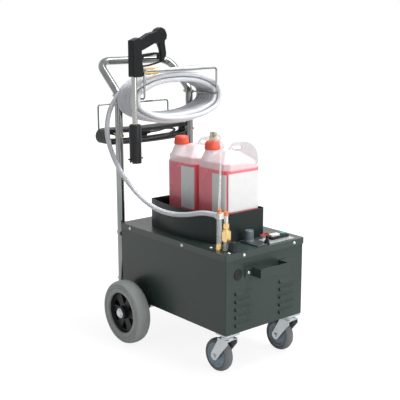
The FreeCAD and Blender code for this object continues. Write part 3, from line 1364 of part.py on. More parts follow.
inlet_end = -gun_side + 91
tail_points = [
    (inlet_end, gun_y + 15, inlet_level), (-40, gun_y + 15, inlet_level), (5, 145, 844), (50, 145.5, 845),
    (94, 147, 846), (126, 176, 846), (127, 216, 845), (101, 247, 842), (69, 250, 830), (45, 247.5, 818),
    (30, hose_back, hose_start.z), (hose_lead.x, hose_back, hose_start.z)]
keep("hose_tail", cord("hose_tail", tail_points, hose_across))
block_port = block_low + block_height / 2
run_points = [
    (hose_end.x, hose_end.y, hose_end.z), (-58, hose_end.y, hose_end.z), (-101, 232, 819), (-140, 234.5, 794),
    (-171, 236.5, 762), (-192, 238, 732), (-203, 239, 698), (-207, 239, 664), (-206, 233, 629),
    (-202, 221, 594), (-197, 200, 556), (-190, 168, 519), (-181, 129, 484), (-169, 85, 454), (-156, 38, 437),
    (-146, -14, 435), (-138, -64, 442), (-132, -112, 455), (meter_x + 2, -150, block_port),
    (meter_x + 2, meter_y + 15, block_port)]
keep("hose_run", cord("hose_run", run_points, hose_across))


# Cable: a flat hank of two layers wound round the rear hook's arms

cable_step = cable_across + cable_gap
hank_turns = 6


def hank_edges():
    """The inner layer runs towards the back and the outer one returns."""
    left, right = float(hank_left), float(hank_right)
    pitch = float(cable_step) + 1.1
    low, layer = float(hank_front), 0.0
    edges = []
    here = vec(40, low, hank_level - hank_rise)
    for turn in range(hank_turns * 2):
        outward = float(cable_step) if turn >= hank_turns else 0.0
        rise = float(hank_rise) + outward
        step = pitch / 2 if turn < hank_turns else -pitch / 2
        bottom = vec(left, here.y, here.z)
        top = vec(left, here.y + step, hank_level + rise)
        edges.append(straight(here, bottom))
        edges += biarc(bottom, vec(-1, 0, 0), top, vec(1, 0, 0))
        across = vec(right, top.y, top.z)
        edges.append(straight(top, across))
        if turn == hank_turns * 2 - 1:
            side = vec(right + rise, across.y + step / 2, hank_level)
            edges += biarc(across, vec(1, 0, 0), side, vec(0, 0, -1))
            edges.append(straight(side, side - vec(0, 0, 7)))
            return edges, side - vec(0, 0, 7)
        grown = rise + (float(cable_step) if turn == hank_turns - 1 else 0.0)
        here = vec(right, across.y + (0 if turn == hank_turns - 1 else step), hank_level - grown)
        edges += biarc(across, vec(1, 0, 0), here, vec(-1, 0, 0))


cable_edges, cable_end = hank_edges()
coil("cable_coil", cable_edges, cable_across, 660)
hank_low = hank_level - hank_rise
plug_x, plug_y, plug_z = 60, 380, hank_level - 10
cable_tail_points = [
    (plug_x, plug_y, plug_z), (92, plug_y, plug_z), (118, 366, hank_level), (127, 338, hank_level),
    (118, 312, hank_level), (95, 300, hank_level - 3), (68, 300, hank_level - 11), (54, hank_front, hank_low),
    (40, hank_front, hank_low)]
keep("cable_tail", cord("cable_tail", cable_tail_points, cable_across))
gland_out = wall_y + 24
cable_lead_points = [
    (cable_end.x, cable_end.y, cable_end.z), (168, cable_end.y, 590), (165, 298, 545), (160, 289, 484),
    (157, 285, 420), (148, 296, 366), (130, 314, 326), (112, 324, 298), (100, 318, 274),
    (gland_place, 300, gland_level), (gland_place, gland_out, gland_level)]
keep("cable_lead", cord("cable_lead", cable_lead_points, cable_across))

plug_points = [(0, 0), (cable_across / 2 + 2, 0), (cable_across / 2 + 3, 14), (17, 22), (18, 44), (16, 46),
               (0, 46)]
plug_body = turned("mains_plug_body", "-x", plug_x, plug_y, plug_z, plug_points)
plug_pins = [rod(f"plug_pin_{side}", "-x", plug_x - 46, plug_y + 9.5 * side, plug_z, 2.4, 19)
             for side in (-1, 1)]
keep("mains_plug", fuse("mains_plug", [plug_body] + plug_pins))

gland_hex = nut("gland_hex", "y", gland_place, wall_y, gland_level, 24, 6)
gland_dome = rod("gland_dome", "y", gland_place, wall_y + 6, gland_level, 10, 12)
gland_tip = rod("gland_tip", "y", gland_place, wall_y + 18, gland_level, 6.5, 6)
gland_thread = rod("gland_thread", "-y", gland_place, wall_y, gland_level, gland_across / 2, 12)
gland = fuse("cable_gland", [gland_hex, gland_dome, gland_tip, gland_thread])
keep("wall_fittings", group("wall_fittings", [plug, gland]))
inner_cable = cord("inner_cable", [
    (gland_place, wall_y - 12, gland_level), (gland_place, 205, gland_level + 4), (88, 168, gland_level + 16),
    (72, 132, gland_level + 24), (54, 98, gland_level + 22), (30, 98, gland_level + 22)], cable_across)
keep("inner_lines", group("inner_lines", [pump_pipe, inner_cable]))

ring_top = block_low + block_height + 13
arm_tip = dip_y - 16
suction_points = [
    (dip_x, arm_tip, cap_top + 19), (-34, -92, 666), (-48, -110, 640), (-72, -134, 598), (-94, -157, 559),
    (-111, -176, 534), (-123, -188, 516), (meter_x, meter_y, ring_top + 20), (meter_x, meter_y, ring_top)]
keep("suction_tube", cord("suction_tube", suction_points, suction_across))


# Checks and export

doc.recompute()
for obj in doc.Objects:
    if "Invalid" in obj.State or "Error" in obj.State:
        raise RuntimeError(f"{obj.Name} did not build")
os.makedirs("parts", exist_ok=True)
for name, obj in parts.items():
    if obj.Shape.isNull() or not obj.Shape.isValid():
        raise RuntimeError(f"{name} has no valid shape")
    obj.Shape.exportStep(f"parts/{name}.step")
print(len(parts), "sub-parts")
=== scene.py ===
import math

import bpy
from mathutils import Euler, Matrix, Vector


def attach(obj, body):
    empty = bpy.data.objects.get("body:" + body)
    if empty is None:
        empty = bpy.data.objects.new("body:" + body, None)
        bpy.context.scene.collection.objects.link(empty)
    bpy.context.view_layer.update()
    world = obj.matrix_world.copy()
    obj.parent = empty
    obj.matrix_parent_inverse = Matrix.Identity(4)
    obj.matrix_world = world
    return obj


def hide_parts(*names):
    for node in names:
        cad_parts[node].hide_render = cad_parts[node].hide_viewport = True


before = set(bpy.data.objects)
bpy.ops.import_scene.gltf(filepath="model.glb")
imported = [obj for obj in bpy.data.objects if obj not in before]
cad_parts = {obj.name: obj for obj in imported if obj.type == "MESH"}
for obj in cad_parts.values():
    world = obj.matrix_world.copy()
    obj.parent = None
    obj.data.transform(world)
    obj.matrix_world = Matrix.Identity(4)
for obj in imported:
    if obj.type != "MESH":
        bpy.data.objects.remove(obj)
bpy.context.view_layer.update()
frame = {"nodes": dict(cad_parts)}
nodes = frame["nodes"]


# Camera. It stands where the photograph was taken from, a little over two and a half metres away
# and slightly above the lid, looking at the cart's left front corner through a long lens.

camera_data = bpy.data.cameras.new("camera")
camera_data.lens = 75.03
camera_data.sensor_width = 36
camera = bpy.data.objects.new("camera", camera_data)
bpy.context.scene.collection.objects.link(camera)
camera.location = (-1.61760, -1.93829, 1.00014)
camera.rotation_euler = Euler([math.radians(turn) for turn in (90 - 12.355, 0.10, -39.987)])
bpy.context.scene.camera = camera


# Room. A white sweep lit by a pale ceiling, two large soft boxes and a faint one. The floor shows
# white to the camera, fully so from 1.3 m outwards, and keeps the soft shadow under the wheels.

bpy.context.scene.view_settings.view_transform = "Standard"

world = bpy.data.worlds.new("pale_room")
world.use_nodes = True
bpy.context.scene.world = world
room_nodes, room_links = world.node_tree.nodes, world.node_tree.links
room_light = room_nodes["Background"]
room_white = room_nodes.new("ShaderNodeBackground")
room_white.inputs["Color"].default_value = (1, 1, 1, 1)
room_place = room_nodes.new("ShaderNodeTexCoord")
room_ramp = room_nodes.new("ShaderNodeValToRGB")
room_parts = room_nodes.new("ShaderNodeSeparateXYZ")
room_links.new(room_place.outputs["Generated"], room_parts.inputs[0])
room_links.new(room_parts.outputs["Z"], room_ramp.inputs["Fac"])
room_ramp.color_ramp.elements[0].position = 0.45
room_ramp.color_ramp.elements[0].color = (0.34, 0.35, 0.36, 1)
room_ramp.color_ramp.elements[1].position = 0.9
room_ramp.color_ramp.elements[1].color = (1, 1, 1, 1)
room_links.new(room_ramp.outputs["Color"], room_light.inputs["Color"])
room_light.inputs["Strength"].default_value = 0.6


def seen_directly(nodes, links):
    """1 for a ray from the camera, off a shiny face or through a clear one, and 0 for others."""
    ray = nodes.new("ShaderNodeLightPath")
    seen = ray.outputs["Is Camera Ray"]
    for kind in ("Is Glossy Ray", "Is Transmission Ray"):
        either = nodes.new("ShaderNodeMath")
        either.operation = "MAXIMUM"
        links.new(seen, either.inputs[0])
        links.new(ray.outputs[kind], either.inputs[1])
        seen = either.outputs[0]
    return seen


room_mix = room_nodes.new("ShaderNodeMixShader")
room_links.new(seen_directly(room_nodes, room_links), room_mix.inputs["Fac"])
room_links.new(room_light.outputs[0], room_mix.inputs[1])
room_links.new(room_white.outputs[0], room_mix.inputs[2])
room_links.new(room_mix.outputs[0], room_nodes["World Output"].inputs["Surface"])


def soft_box(name, place, aim, size, power):
    lamp = bpy.data.lights.new(name, "AREA")
    lamp.shape = "RECTANGLE"
    lamp.size, lamp.size_y = size
    lamp.energy = power
    holder = bpy.data.objects.new(name, lamp)
    bpy.context.scene.collection.objects.link(holder)
    holder.location = place
    holder.rotation_euler = (Vector(aim) - Vector(place)).to_track_quat("-Z", "Y").to_euler()


soft_box("overhead_box", (0.7, -0.5, 2.6), (0, 0, 0.4), (1.4, 1.4), 66)
soft_box("front_box", (0.6, -3.0, 1.3), (0, 0, 0.4), (1.6, 1.8), 52)
soft_box("left_box", (-3.0, -0.9, 1.5), (0, 0, 0.4), (0.8, 1.8), 4)

FLOOR_SIDE = 14
SHADOW_REACH = 0.45
WHITE_REACH = 1.3
SHADOW_SHARE = 0.7
bpy.ops.object.select_all(action="DESELECT")
bpy.ops.mesh.primitive_plane_add(size=FLOOR_SIDE, location=(0, 0, 0))
floor = bpy.context.object
floor.name = "floor"
floor_paint = bpy.data.materials.new("white_floor")
floor_paint.use_nodes = True
floor_nodes, floor_links = floor_paint.node_tree.nodes, floor_paint.node_tree.links
floor_nodes.remove(floor_nodes["Principled BSDF"])
floor_matt = floor_nodes.new("ShaderNodeBsdfDiffuse")
floor_matt.inputs["Color"].default_value = (0.62, 0.62, 0.62, 1)
floor_glow = floor_nodes.new("ShaderNodeEmission")
floor_glow.inputs["Strength"].default_value = 1.26
floor_place = floor_nodes.new("ShaderNodeTexCoord")
floor_reach = floor_nodes.new("ShaderNodeVectorMath")
floor_reach.operation = "LENGTH"
floor_links.new(floor_place.outputs["Object"], floor_reach.inputs[0])
floor_sweep = floor_nodes.new("ShaderNodeMapRange")
floor_sweep.inputs["From Min"].default_value = SHADOW_REACH
floor_sweep.inputs["From Max"].default_value = WHITE_REACH
floor_sweep.inputs["To Min"].default_value = SHADOW_SHARE
floor_sweep.inputs["To Max"].default_value = 1.0
floor_links.new(floor_reach.outputs["Value"], floor_sweep.inputs["Value"])
floor_share = floor_nodes.new("ShaderNodeMath")
floor_share.operation = "MULTIPLY"
floor_links.new(floor_sweep.outputs[0], floor_share.inputs[1])
floor_mix = floor_nodes.new("ShaderNodeMixShader")
floor_links.new(seen_directly(floor_nodes, floor_links), floor_share.inputs[0])
floor_links.new(floor_share.outputs[0], floor_mix.inputs["Fac"])
floor_links.new(floor_matt.outputs[0], floor_mix.inputs[1])
floor_links.new(floor_glow.outputs[0], floor_mix.inputs[2])
floor_links.new(floor_mix.outputs[0], floor_nodes["Material Output"].inputs["Surface"])
floor.data.materials.append(floor_paint)


# Foam hose. Ten metres of clear milky PVC hose, 15 mm across, pushed on the gun's brass tail, wound
# in an oval coil of two layers round the front hook's arms and led down to the regulator.

MM = 0.001
FRAME_SHIFT = -51
NOISE_SPAN = (0.3, 0.7)


def at(x, y, z):
    """A point of the drawing, in millimetres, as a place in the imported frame."""
    return Vector((x, y + FRAME_SHIFT, z)) * MM


def sockets(finish):
    """The sockets of a finish's shader."""
    return finish.node_tree.nodes["Principled BSDF"].inputs


def new_finish(name, colour, roughness, metallic=0.0):
    """A Principled material, with its base values on the shader's own sockets."""
    finish = bpy.data.materials.new(name)
    finish.use_nodes = True
    sockets(finish)["Base Color"].default_value = (*colour, 1)
    sockets(finish)["Roughness"].default_value = roughness
    sockets(finish)["Metallic"].default_value = metallic
    return finish


def noise_on(finish, scale, detail=2.0, stretch=(1, 1, 1)):
    """A noise over the piece's own place, as fine as the finish needs."""
    tree = finish.node_tree
    place = tree.nodes.new("ShaderNodeTexCoord")
    turn = tree.nodes.new("ShaderNodeMapping")
    turn.inputs["Scale"].default_value = stretch
    noise = tree.nodes.new("ShaderNodeTexNoise")
    noise.inputs["Scale"].default_value = scale
    noise.inputs["Detail"].default_value = detail
    tree.links.new(place.outputs["Object"], turn.inputs["Vector"])
    tree.links.new(turn.outputs["Vector"], noise.inputs["Vector"])
    return noise


def spread(finish, source, socket, low, high):
    """Leads a noise to a socket of the shader, between two colours or two numbers."""
    tree = finish.node_tree
    if isinstance(low, tuple):
        ramp = tree.nodes.new("ShaderNodeValToRGB")
        for element, place, colour in zip(ramp.color_ramp.elements, NOISE_SPAN, (low, high)):
            element.position = place
            element.color = (*colour, 1)
        tree.links.new(source, ramp.inputs["Fac"])
        tree.links.new(ramp.outputs["Color"], sockets(finish)[socket])
    else:
        span = tree.nodes.new("ShaderNodeMapRange")
        span.inputs["From Min"].default_value = NOISE_SPAN[0]
        span.inputs["From Max"].default_value = NOISE_SPAN[1]
        span.inputs["To Min"].default_value = low
        span.inputs["To Max"].default_value = high
        tree.links.new(source, span.inputs["Value"])
        tree.links.new(span.outputs[0], sockets(finish)[socket])


def mottled(name, dark, light, roughness, scale, detail=3, metallic=0.0, stretch=(1, 1, 1)):
    """A finish between two colours by a noise, and between two roughnesses if it has a pair."""
    uneven = isinstance(roughness, tuple)
    finish = new_finish(name, light, roughness[0] if uneven else roughness, metallic)
    cloud = noise_on(finish, scale, detail, stretch).outputs["Fac"]
    spread(finish, cloud, "Base Color", dark, light)
    if uneven:
        spread(finish, cloud, "Roughness", *roughness)
    return finish


def spline(name, points, across):
    """One smooth NURBS line through the open air, with the tube round it."""
    curve = bpy.data.curves.new(name, "CURVE")
    curve.dimensions = "3D"
    line = curve.splines.new("NURBS")
    line.points.add(len(points) - 1)
    for place, point in zip(line.points, points):
        place.co = (*point, 1)
    line.order_u = 3
    line.use_endpoint_u = True
    curve.resolution_u = 6
    curve.bevel_depth = across / 2
    curve.bevel_resolution = 4
    curve.use_fill_caps = True
    piece = bpy.data.objects.new(name, curve)
    bpy.context.scene.collection.objects.link(piece)
    return piece


HOSE_ACROSS = 15
COIL_STEP = 15.9
COIL_BACK = 246
COIL_LEVEL = 757
COIL_TURNS = 6.5
COIL_HALF_WIDTH = 155
COIL_HALF_HEIGHT = 56
COIL_LAY = math.radians(20)
COIL_REACH = ((COIL_HALF_WIDTH - COIL_HALF_HEIGHT)
              / (math.cos(COIL_LAY) + math.sin(COIL_LAY) - 1))
COIL_END = COIL_HALF_WIDTH - COIL_REACH * math.sin(COIL_LAY)
COIL_TOP = COIL_HALF_HEIGHT + COIL_REACH * math.cos(COIL_LAY)


def coil_point(turns, quarter, angle):
    """A control point of the coil on its quarter's arc, in the inner layer or in the outer one."""
    grown = COIL_STEP * min(1.0, max(0.0, (turns - COIL_TURNS + 0.25) * 2))
    forward = COIL_STEP * (turns if turns < COIL_TURNS else 2 * COIL_TURNS - turns)
    flat = quarter in ("top", "bottom")
    half = math.radians(10 if flat else 17.5)
    radius = ((COIL_TOP if flat else COIL_END) + grown) / math.cos(half)
    side = COIL_REACH * math.sin(COIL_LAY) * {"left": -1, "right": 1}.get(quarter, 0)
    drop = COIL_REACH * math.cos(COIL_LAY) * {"top": -1, "bottom": 1}.get(quarter, 0)
    return at(side - radius * math.sin(angle), COIL_BACK - forward,
              COIL_LEVEL + drop + radius * math.cos(angle))


def coil_turn(turn):
    """Twelve control points of one turn, from the top to the left, under and up again."""
    steps = [(0.06, "top", 10), (0.20, "left", 37.5), (0.23, "left", 72.5), (0.27, "left", 107.5),
             (0.30, "left", 142.5), (0.44, "bottom", 170), (0.56, "bottom", 190),
             (0.70, "right", 217.5), (0.73, "right", 252.5), (0.77, "right", 287.5),
             (0.80, "right", 322.5), (0.94, "top", 350)]
    return [coil_point(turn + share, quarter, math.radians(angle))
            for share, quarter, angle in steps]


hose_tail = [at(*point) for point in [
    (-82, 143.5, 843), (-40, 143.5, 843), (5, 145, 844), (50, 145.5, 845), (94, 147, 846),
    (126, 176, 846), (127, 216, 845), (101, 247, 842), (69, 250, 830), (45, 247.5, 818),
    (30, 246, 813)]]
hose_wound = [point for turn in range(int(2 * COIL_TURNS) - 1) for point in coil_turn(turn)]
hose_run = [at(*point) for point in [
    (-58, 230.1, 828.9), (-101, 232, 819), (-140, 234.5, 794), (-171, 236.5, 762), (-192, 238, 732),
    (-203, 239, 698), (-207, 239, 664), (-206, 233, 629), (-202, 221, 594), (-197, 200, 556),
    (-190, 168, 519), (-181, 129, 484), (-169, 85, 454), (-156, 38, 437), (-146, -14, 435),
    (-138, -64, 442), (-132, -112, 455), (-130, -150, 461), (-130, -183, 461)]]
foam_hose = spline("foam_hose", hose_tail + hose_wound + hose_run, HOSE_ACROSS * MM)
hose_finish = mottled("milky_hose", (0.60, 0.62, 0.65), (0.66, 0.68, 0.71), 0.3, 14)
sockets(hose_finish)["Subsurface Weight"].default_value = 0.5
sockets(hose_finish)["Subsurface Radius"].default_value = (0.008, 0.008, 0.009)
sockets(hose_finish)["Subsurface Scale"].default_value = 1.0
sockets(hose_finish)["IOR"].default_value = 1.4
sockets(hose_finish)["Coat Weight"].default_value = 0.2
foam_hose.data.materials.append(hose_finish)
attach(foam_hose, "cart")
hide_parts("hose_tail", "hose_coil", "hose_run")


# Suction tube. A clear 6 mm tube from the elbow on the front can's cap down to the push-in ring on
# the regulator block. It bows towards the left as it falls.

suction_line = spline("suction_line", [at(*point) for point in [
    (-32, -68, 666), (-34, -92, 666), (-48, -110, 640), (-72, -134, 598), (-94, -157, 559),
    (-111, -176, 534), (-123, -188, 516), (-132, -198, 501), (-132, -198, 481)]], 6 * MM)
suction_finish = new_finish("clear_tube", (0.9, 0.92, 0.92), 0.12)
suction_shade = noise_on(suction_finish, 40)
spread(suction_finish, suction_shade.outputs["Fac"], "Roughness", 0.08, 0.2)
sockets(suction_finish)["Transmission Weight"].default_value = 0.75
suction_line.data.materials.append(suction_finish)
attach(suction_line, "cart")
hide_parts("suction_tube")


# Mains cable. Black rubber cable, 7 mm across, from the gland up to the rear hook, where it is
# wound in a flat hank of two layers of six turns, with its plug lying behind the hank.

CABLE_ACROSS = 7
HANK_TURNS = 6
HANK_STEP = 7.8
HANK_PITCH = 8.9
HANK_LEVEL = 631.3
HANK_RISE = 14.5
HANK_ENDS = (-152, 146)
HANK_FRONT = 301
HANK_SAG = 5
HALF_STEP = math.radians(22.5)
HALF_CIRCLE = (22.5, 67.5, 112.5, 157.5)


def hank_sag(x):
    """How far the runs hang between the hook's two arms."""
    middle, half = sum(HANK_ENDS) / 2, (HANK_ENDS[1] - HANK_ENDS[0]) / 2
    return -HANK_SAG * (1 - ((x - middle) / half) ** 2)


def hank_turn(turn):
    """One turn of the hank: its bottom run, left end, top run, right end and bottom run again."""
    outer, crossing = turn >= HANK_TURNS, turn == HANK_TURNS - 1
    rise = HANK_RISE + (HANK_STEP if outer else 0)
    step = HANK_PITCH / 2 * (-1 if outer else 1)
    start = HANK_FRONT + HANK_PITCH * (2 * HANK_TURNS - turn - 0.5 if outer else turn)
    reach = rise / math.cos(HALF_STEP)
    points = [(x, start, HANK_LEVEL - rise + hank_sag(x)) for x in (-10, -60, -110)]
    for angle in HALF_CIRCLE:
        points.append((HANK_ENDS[0] - reach * math.sin(math.radians(angle)),
                       start + step * angle / 180,
                       HANK_LEVEL - reach * math.cos(math.radians(angle))))
    points += [(x, start + step, HANK_LEVEL + rise + hank_sag(x))
               for x in (-110, -60, -10, 40, 90, 120)]
    last = turn == 2 * HANK_TURNS - 1
    after = rise + (HANK_STEP if crossing else 0)
    for number, angle in enumerate(HALF_CIRCLE[:2] if last else HALF_CIRCLE):
        grown = (rise + (after - rise) * number / 3) / math.cos(HALF_STEP)
        forward = 0 if crossing else step * angle / 180
        points.append((HANK_ENDS[1] + grown * math.sin(math.radians(angle)), start + step + forward,
                       HANK_LEVEL + grown * math.cos(math.radians(angle))))
    if not last:
        end = start + step + (0 if crossing else step)
        points += [(x, end, HANK_LEVEL - after + hank_sag(x)) for x in (100, 50)]
    return points


cable_tail = [(60, 380, 621.3), (92, 380, 621.3), (118, 366, 631.3), (127, 338, 631.3),
              (118, 312, 631.3), (95, 300, 627), (68, 300, 617)]
cable_wound = [point for turn in range(2 * HANK_TURNS) for point in hank_turn(turn)]
cable_lead = [(168.3, 298.8, 631.3), (168.3, 298.8, 612), (168, 298.8, 590), (165, 298, 545),
              (160, 289, 484), (157, 285, 420), (148, 296, 366), (130, 314, 326), (112, 324, 298),
              (100, 318, 274), (96, 300, 262), (96, 274, 262)]
cable_route = [at(*point) for point in cable_tail + cable_wound + cable_lead]
mains_cable = spline("mains_cable", cable_route[::-1], CABLE_ACROSS * MM)
cable_finish = mottled("black_cable", (0.028, 0.03, 0.03), (0.06, 0.062, 0.063), (0.36, 0.52), 30)
mains_cable.data.materials.append(cable_finish)
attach(mains_cable, "cart")
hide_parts("cable_coil", "cable_tail", "cable_lead")


# Housing and lid. A box of folded sheet steel, powder coated dark grey-green after two columns of
# louvres were pressed into its front, under a shallow folded lid whose skirt is screwed to it.

def coat(finish, *names):
    """Gives CAD nodes their finish in place of the plain one."""
    for name in names:
        nodes[name].data.materials.clear()
        nodes[name].data.materials.append(finish)


def alone(piece):
    """Leaves one piece selected and active, as the operators want it."""
    bpy.ops.object.select_all(action="DESELECT")
    piece.select_set(True)
    bpy.context.view_layer.objects.active = piece


def applied(piece, kind, **settings):
    """Puts a modifier with its settings on the active piece and applies it."""
    modifier = piece.modifiers.new(kind.lower(), kind)
    for setting, value in settings.items():
        setattr(modifier, setting, value)
    bpy.ops.object.modifier_apply(modifier=modifier.name)


def copied(name):
    """A merged copy of a CAD node, alone selected and active, which stands for that node."""
    copy = nodes[name].copy()
    copy.data = nodes[name].data.copy()
    copy.name = f"{name}_finished"
    copy.parent = None
    for key in list(copy.keys()):
        del copy[key]
    bpy.context.scene.collection.objects.link(copy)
    alone(copy)
    bpy.ops.object.mode_set(mode="EDIT")
    bpy.ops.mesh.select_all(action="SELECT")
    bpy.ops.mesh.remove_doubles(threshold=0.00001)
    bpy.ops.object.mode_set(mode="OBJECT")
    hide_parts(name)
    return copy


def broken_edges(name, finish, width, segments=2, body="cart"):
    """A copy of a CAD node with its sharp edges broken, as folded and cast edges are."""
    copy = copied(name)
    bpy.ops.object.mode_set(mode="EDIT")
    bpy.ops.mesh.select_all(action="SELECT")
    bpy.ops.mesh.dissolve_limited(angle_limit=math.radians(2))
    bpy.ops.object.mode_set(mode="OBJECT")
    applied(copy, "BEVEL", width=width * MM, segments=segments, limit_method="ANGLE",
            angle_limit=math.radians(35))
    bpy.ops.object.shade_smooth_by_angle(angle=math.radians(40))
    applied(copy, "WEIGHTED_NORMAL", keep_sharp=True)
    copy.data.materials.clear()
    copy.data.materials.append(finish)
    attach(copy, body)
    return copy


def grain(finish, source, height, strength=0.5):
    """A fine relief from a noise, as high as the real surface's."""
    tree = finish.node_tree
    bump = tree.nodes.new("ShaderNodeBump")
    bump.inputs["Strength"].default_value = strength
    bump.inputs["Distance"].default_value = height
    tree.links.new(source, bump.inputs["Height"])
    tree.links.new(bump.outputs["Normal"], sockets(finish)["Normal"])


def powder_coat(name, dark, light, shine, mirror):
    """Satin powder coat: a slight cloudiness, orange peel and a soft sheen."""
    finish = mottled(name, dark, light, (shine - 0.05, shine + 0.06), 6, detail=4)
    grain(finish, noise_on(finish, 900, 1).outputs["Fac"], 0.0002, 0.2)
    sockets(finish)["Specular IOR Level"].default_value = mirror
    return finish


def even_shading(name, finish, body="cart"):
    """A copy of a CAD node with its flat faces shaded flat and its round ones smooth."""
    copy = copied(name)
    bpy.ops.object.shade_smooth_by_angle(angle=math.radians(40))
    for face in copy.data.polygons:
        if max(abs(part) for part in face.normal) > 0.9999:
            face.use_smooth = False
    copy.data.materials.clear()
    copy.data.materials.append(finish)
    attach(copy, body)
    return copy


housing_coat = powder_coat("housing_coat", (0.026, 0.040, 0.036), (0.032, 0.048, 0.043),
                           0.30, 0.32)
even_shading("housing", housing_coat)
# The lid's coat is the housing's coat made a little lighter: painted light on the lid's top, with a
# stronger sheen.
lid_coat_painted_light = powder_coat("lid_coat_painted_light", (0.028, 0.043, 0.039), (0.035, 0.052, 0.047), 0.32, 0.42)
broken_edges("lid", lid_coat_painted_light, 1.2, 3)


# Screws, plug and gland. Zinc plated domed screws with a cross slot, a black rubber plug pressed
# into a spare hole of the front, and the nylon gland that holds the mains cable in the rear wall.

zinc = mottled("bright_zinc", (0.44, 0.47, 0.49), (0.52, 0.55, 0.57), (0.26, 0.36), 28,
               metallic=1.0)
black_mould = mottled("black_moulding", (0.011, 0.012, 0.013), (0.022, 0.024, 0.025), 0.38, 25)
sockets(black_mould)["Specular IOR Level"].default_value = 0.2
grain(black_mould, noise_on(black_mould, 1400, 1).outputs["Fac"], 0.0002, 0.35)

SCREW_RADIUS = 5
SLOT_HALF = 0.75
SLOT_REACH = 3
SLOT_DEEP = 0.9
way_turns = {"front": (90, 0, 0), "top": (0, 0, 0), "left": (0, -90, 0), "right": (0, 90, 0)}
screw_places = [((-87, -253, 353), "front"), ((113, -253, 353), "front"),
                ((-69, -253, 299), "front"), ((69, -253, 299), "front"), ((-131, -238, 363), "top"),
                ((-131, -162, 363), "top"), ((-156, -60, 353), "left"), ((-156, 200, 353), "left"),
                ((156, -60, 353), "right"), ((156, 200, 353), "right")]


def domed_screw(number, place, way):
    """One pan head: a flattened half ball with a sunk cross."""
    bpy.ops.object.select_all(action="DESELECT")
    bpy.ops.mesh.primitive_uv_sphere_add(segments=32, ring_count=16, radius=SCREW_RADIUS * MM)
    head = bpy.context.object
    head.name = f"screw_head_{number}"
    bpy.ops.object.mode_set(mode="EDIT")
    bpy.ops.mesh.select_all(action="SELECT")
    bpy.ops.mesh.bisect(plane_co=(0, 0, 0), plane_no=(0, 0, 1), clear_inner=True, use_fill=True)
    bpy.ops.object.mode_set(mode="OBJECT")
    for vertex in head.data.vertices:
        slot_wide, slot_long = sorted((abs(vertex.co.x), abs(vertex.co.y)))
        in_slot = slot_wide < SLOT_HALF * MM and slot_long < SLOT_REACH * MM and vertex.co.z > 0
        vertex.co.z = vertex.co.z / 2 - (SLOT_DEEP * MM if in_slot else 0)
    head.rotation_euler = [math.radians(turn) for turn in way_turns[way]]
    head.location = at(*place)
    bpy.ops.object.transform_apply(location=True, rotation=True, scale=True)
    bpy.ops.object.shade_smooth_by_angle(angle=math.radians(50))
    head.data.materials.append(zinc)
    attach(head, "cart")
    return head


for number, (place, way) in enumerate(screw_places):
    head = domed_screw(number, place, way)
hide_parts("panel_screws")
broken_edges("wall_fittings", black_mould, 0.5)


# Strap handle. A flat steel bar bent four times at the press, coated like the housing and screwed
# to its front through the two feet.

broken_edges("strap_handle", housing_coat, 0.8, 3)


# Push handle. One long chrome-plated tube, bent over at the top and closed at its feet by black
# caps, standing off the rear wall on moulded bushes with zinc-yellow bolts through both.

chrome = mottled("chrome_plate", (0.17, 0.18, 0.18), (0.25, 0.26, 0.26), (0.05, 0.16), 35, detail=4,
                 metallic=1.0, stretch=(1, 1, 0.15))
coat(chrome, "handle_frame", "hooks")
broken_edges("tube_bushes", black_mould, 0.5)
yellow_zinc = mottled("yellow_zinc", (0.52, 0.43, 0.27), (0.74, 0.64, 0.42), 0.3, 120, metallic=1.0)
broken_edges("frame_fasteners", yellow_zinc, 0.4)


# Rear wheels. Solid grey rubber tyres moulded with two rings on each wall, on black nylon rims with
# six open wedges, held on the through axle by pressed zinc caps.

def rubber(name, dark, light):
    """Matt rubber with bloom and fine scuffs."""
    finish = mottled(name, dark, light, (0.55, 0.75), 22, detail=5)
    grain(finish, noise_on(finish, 700, 2).outputs["Fac"], 0.0003, 0.35)
    return finish


def drawn(name, corners, edges, faces):
    """A new piece of given corners, edges and faces, alone selected and active."""
    mesh = bpy.data.meshes.new(name)
    mesh.from_pydata(corners, edges, faces)
    piece = bpy.data.objects.new(name, mesh)
    bpy.context.scene.collection.objects.link(piece)
    alone(piece)
    return piece


def outward():
    """Turns the active piece's faces outwards."""
    bpy.ops.object.mode_set(mode="EDIT")
    bpy.ops.mesh.select_all(action="SELECT")
    bpy.ops.mesh.normals_make_consistent(inside=False)
    bpy.ops.object.mode_set(mode="OBJECT")


WHEEL_OUT = 201
WHEEL_BACK = 161
WHEEL_RADIUS = 100
BRACKET_HALF = 16 * MM
BRACKET_TOP = 118 * MM
tyre_rubber = rubber("grey_tyre", (0.30, 0.33, 0.32), (0.365, 0.395, 0.385))


def ringed_tyre(side, sign):
    """A tyre spun from its section, with two shallow grooves in each wall and a crowned tread."""
    half = [(64, 21), (65.5, 23.4), (68, 24), (77, 24), (78.2, 22.4), (80.2, 22.4), (81.4, 24),
            (85.4, 24), (86.6, 22.4), (88.6, 22.4), (89.8, 23.6), (93, 22.2), (96.5, 18.5),
            (98.8, 12), (99.8, 6), (100, 0)]
    section = half + [(reach, -out) for reach, out in half[-2::-1]]
    corners = [(out * MM, 0, reach * MM) for reach, out in section]
    ring = [(point, (point + 1) % len(section)) for point in range(len(section))]
    tyre = drawn(f"ringed_tyre_{side}", corners, ring, [])
    applied(tyre, "SCREW", axis="X", steps=96, use_merge_vertices=True)
    outward()
    bpy.ops.object.shade_smooth_by_angle(angle=math.radians(40))
    tyre.data.transform(Matrix.Translation(at(WHEEL_OUT * sign, WHEEL_BACK, WHEEL_RADIUS)))
    tyre.data.materials.append(tyre_rubber)
    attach(tyre, f"{side}_wheel")
    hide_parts(f"tyre_{side}")


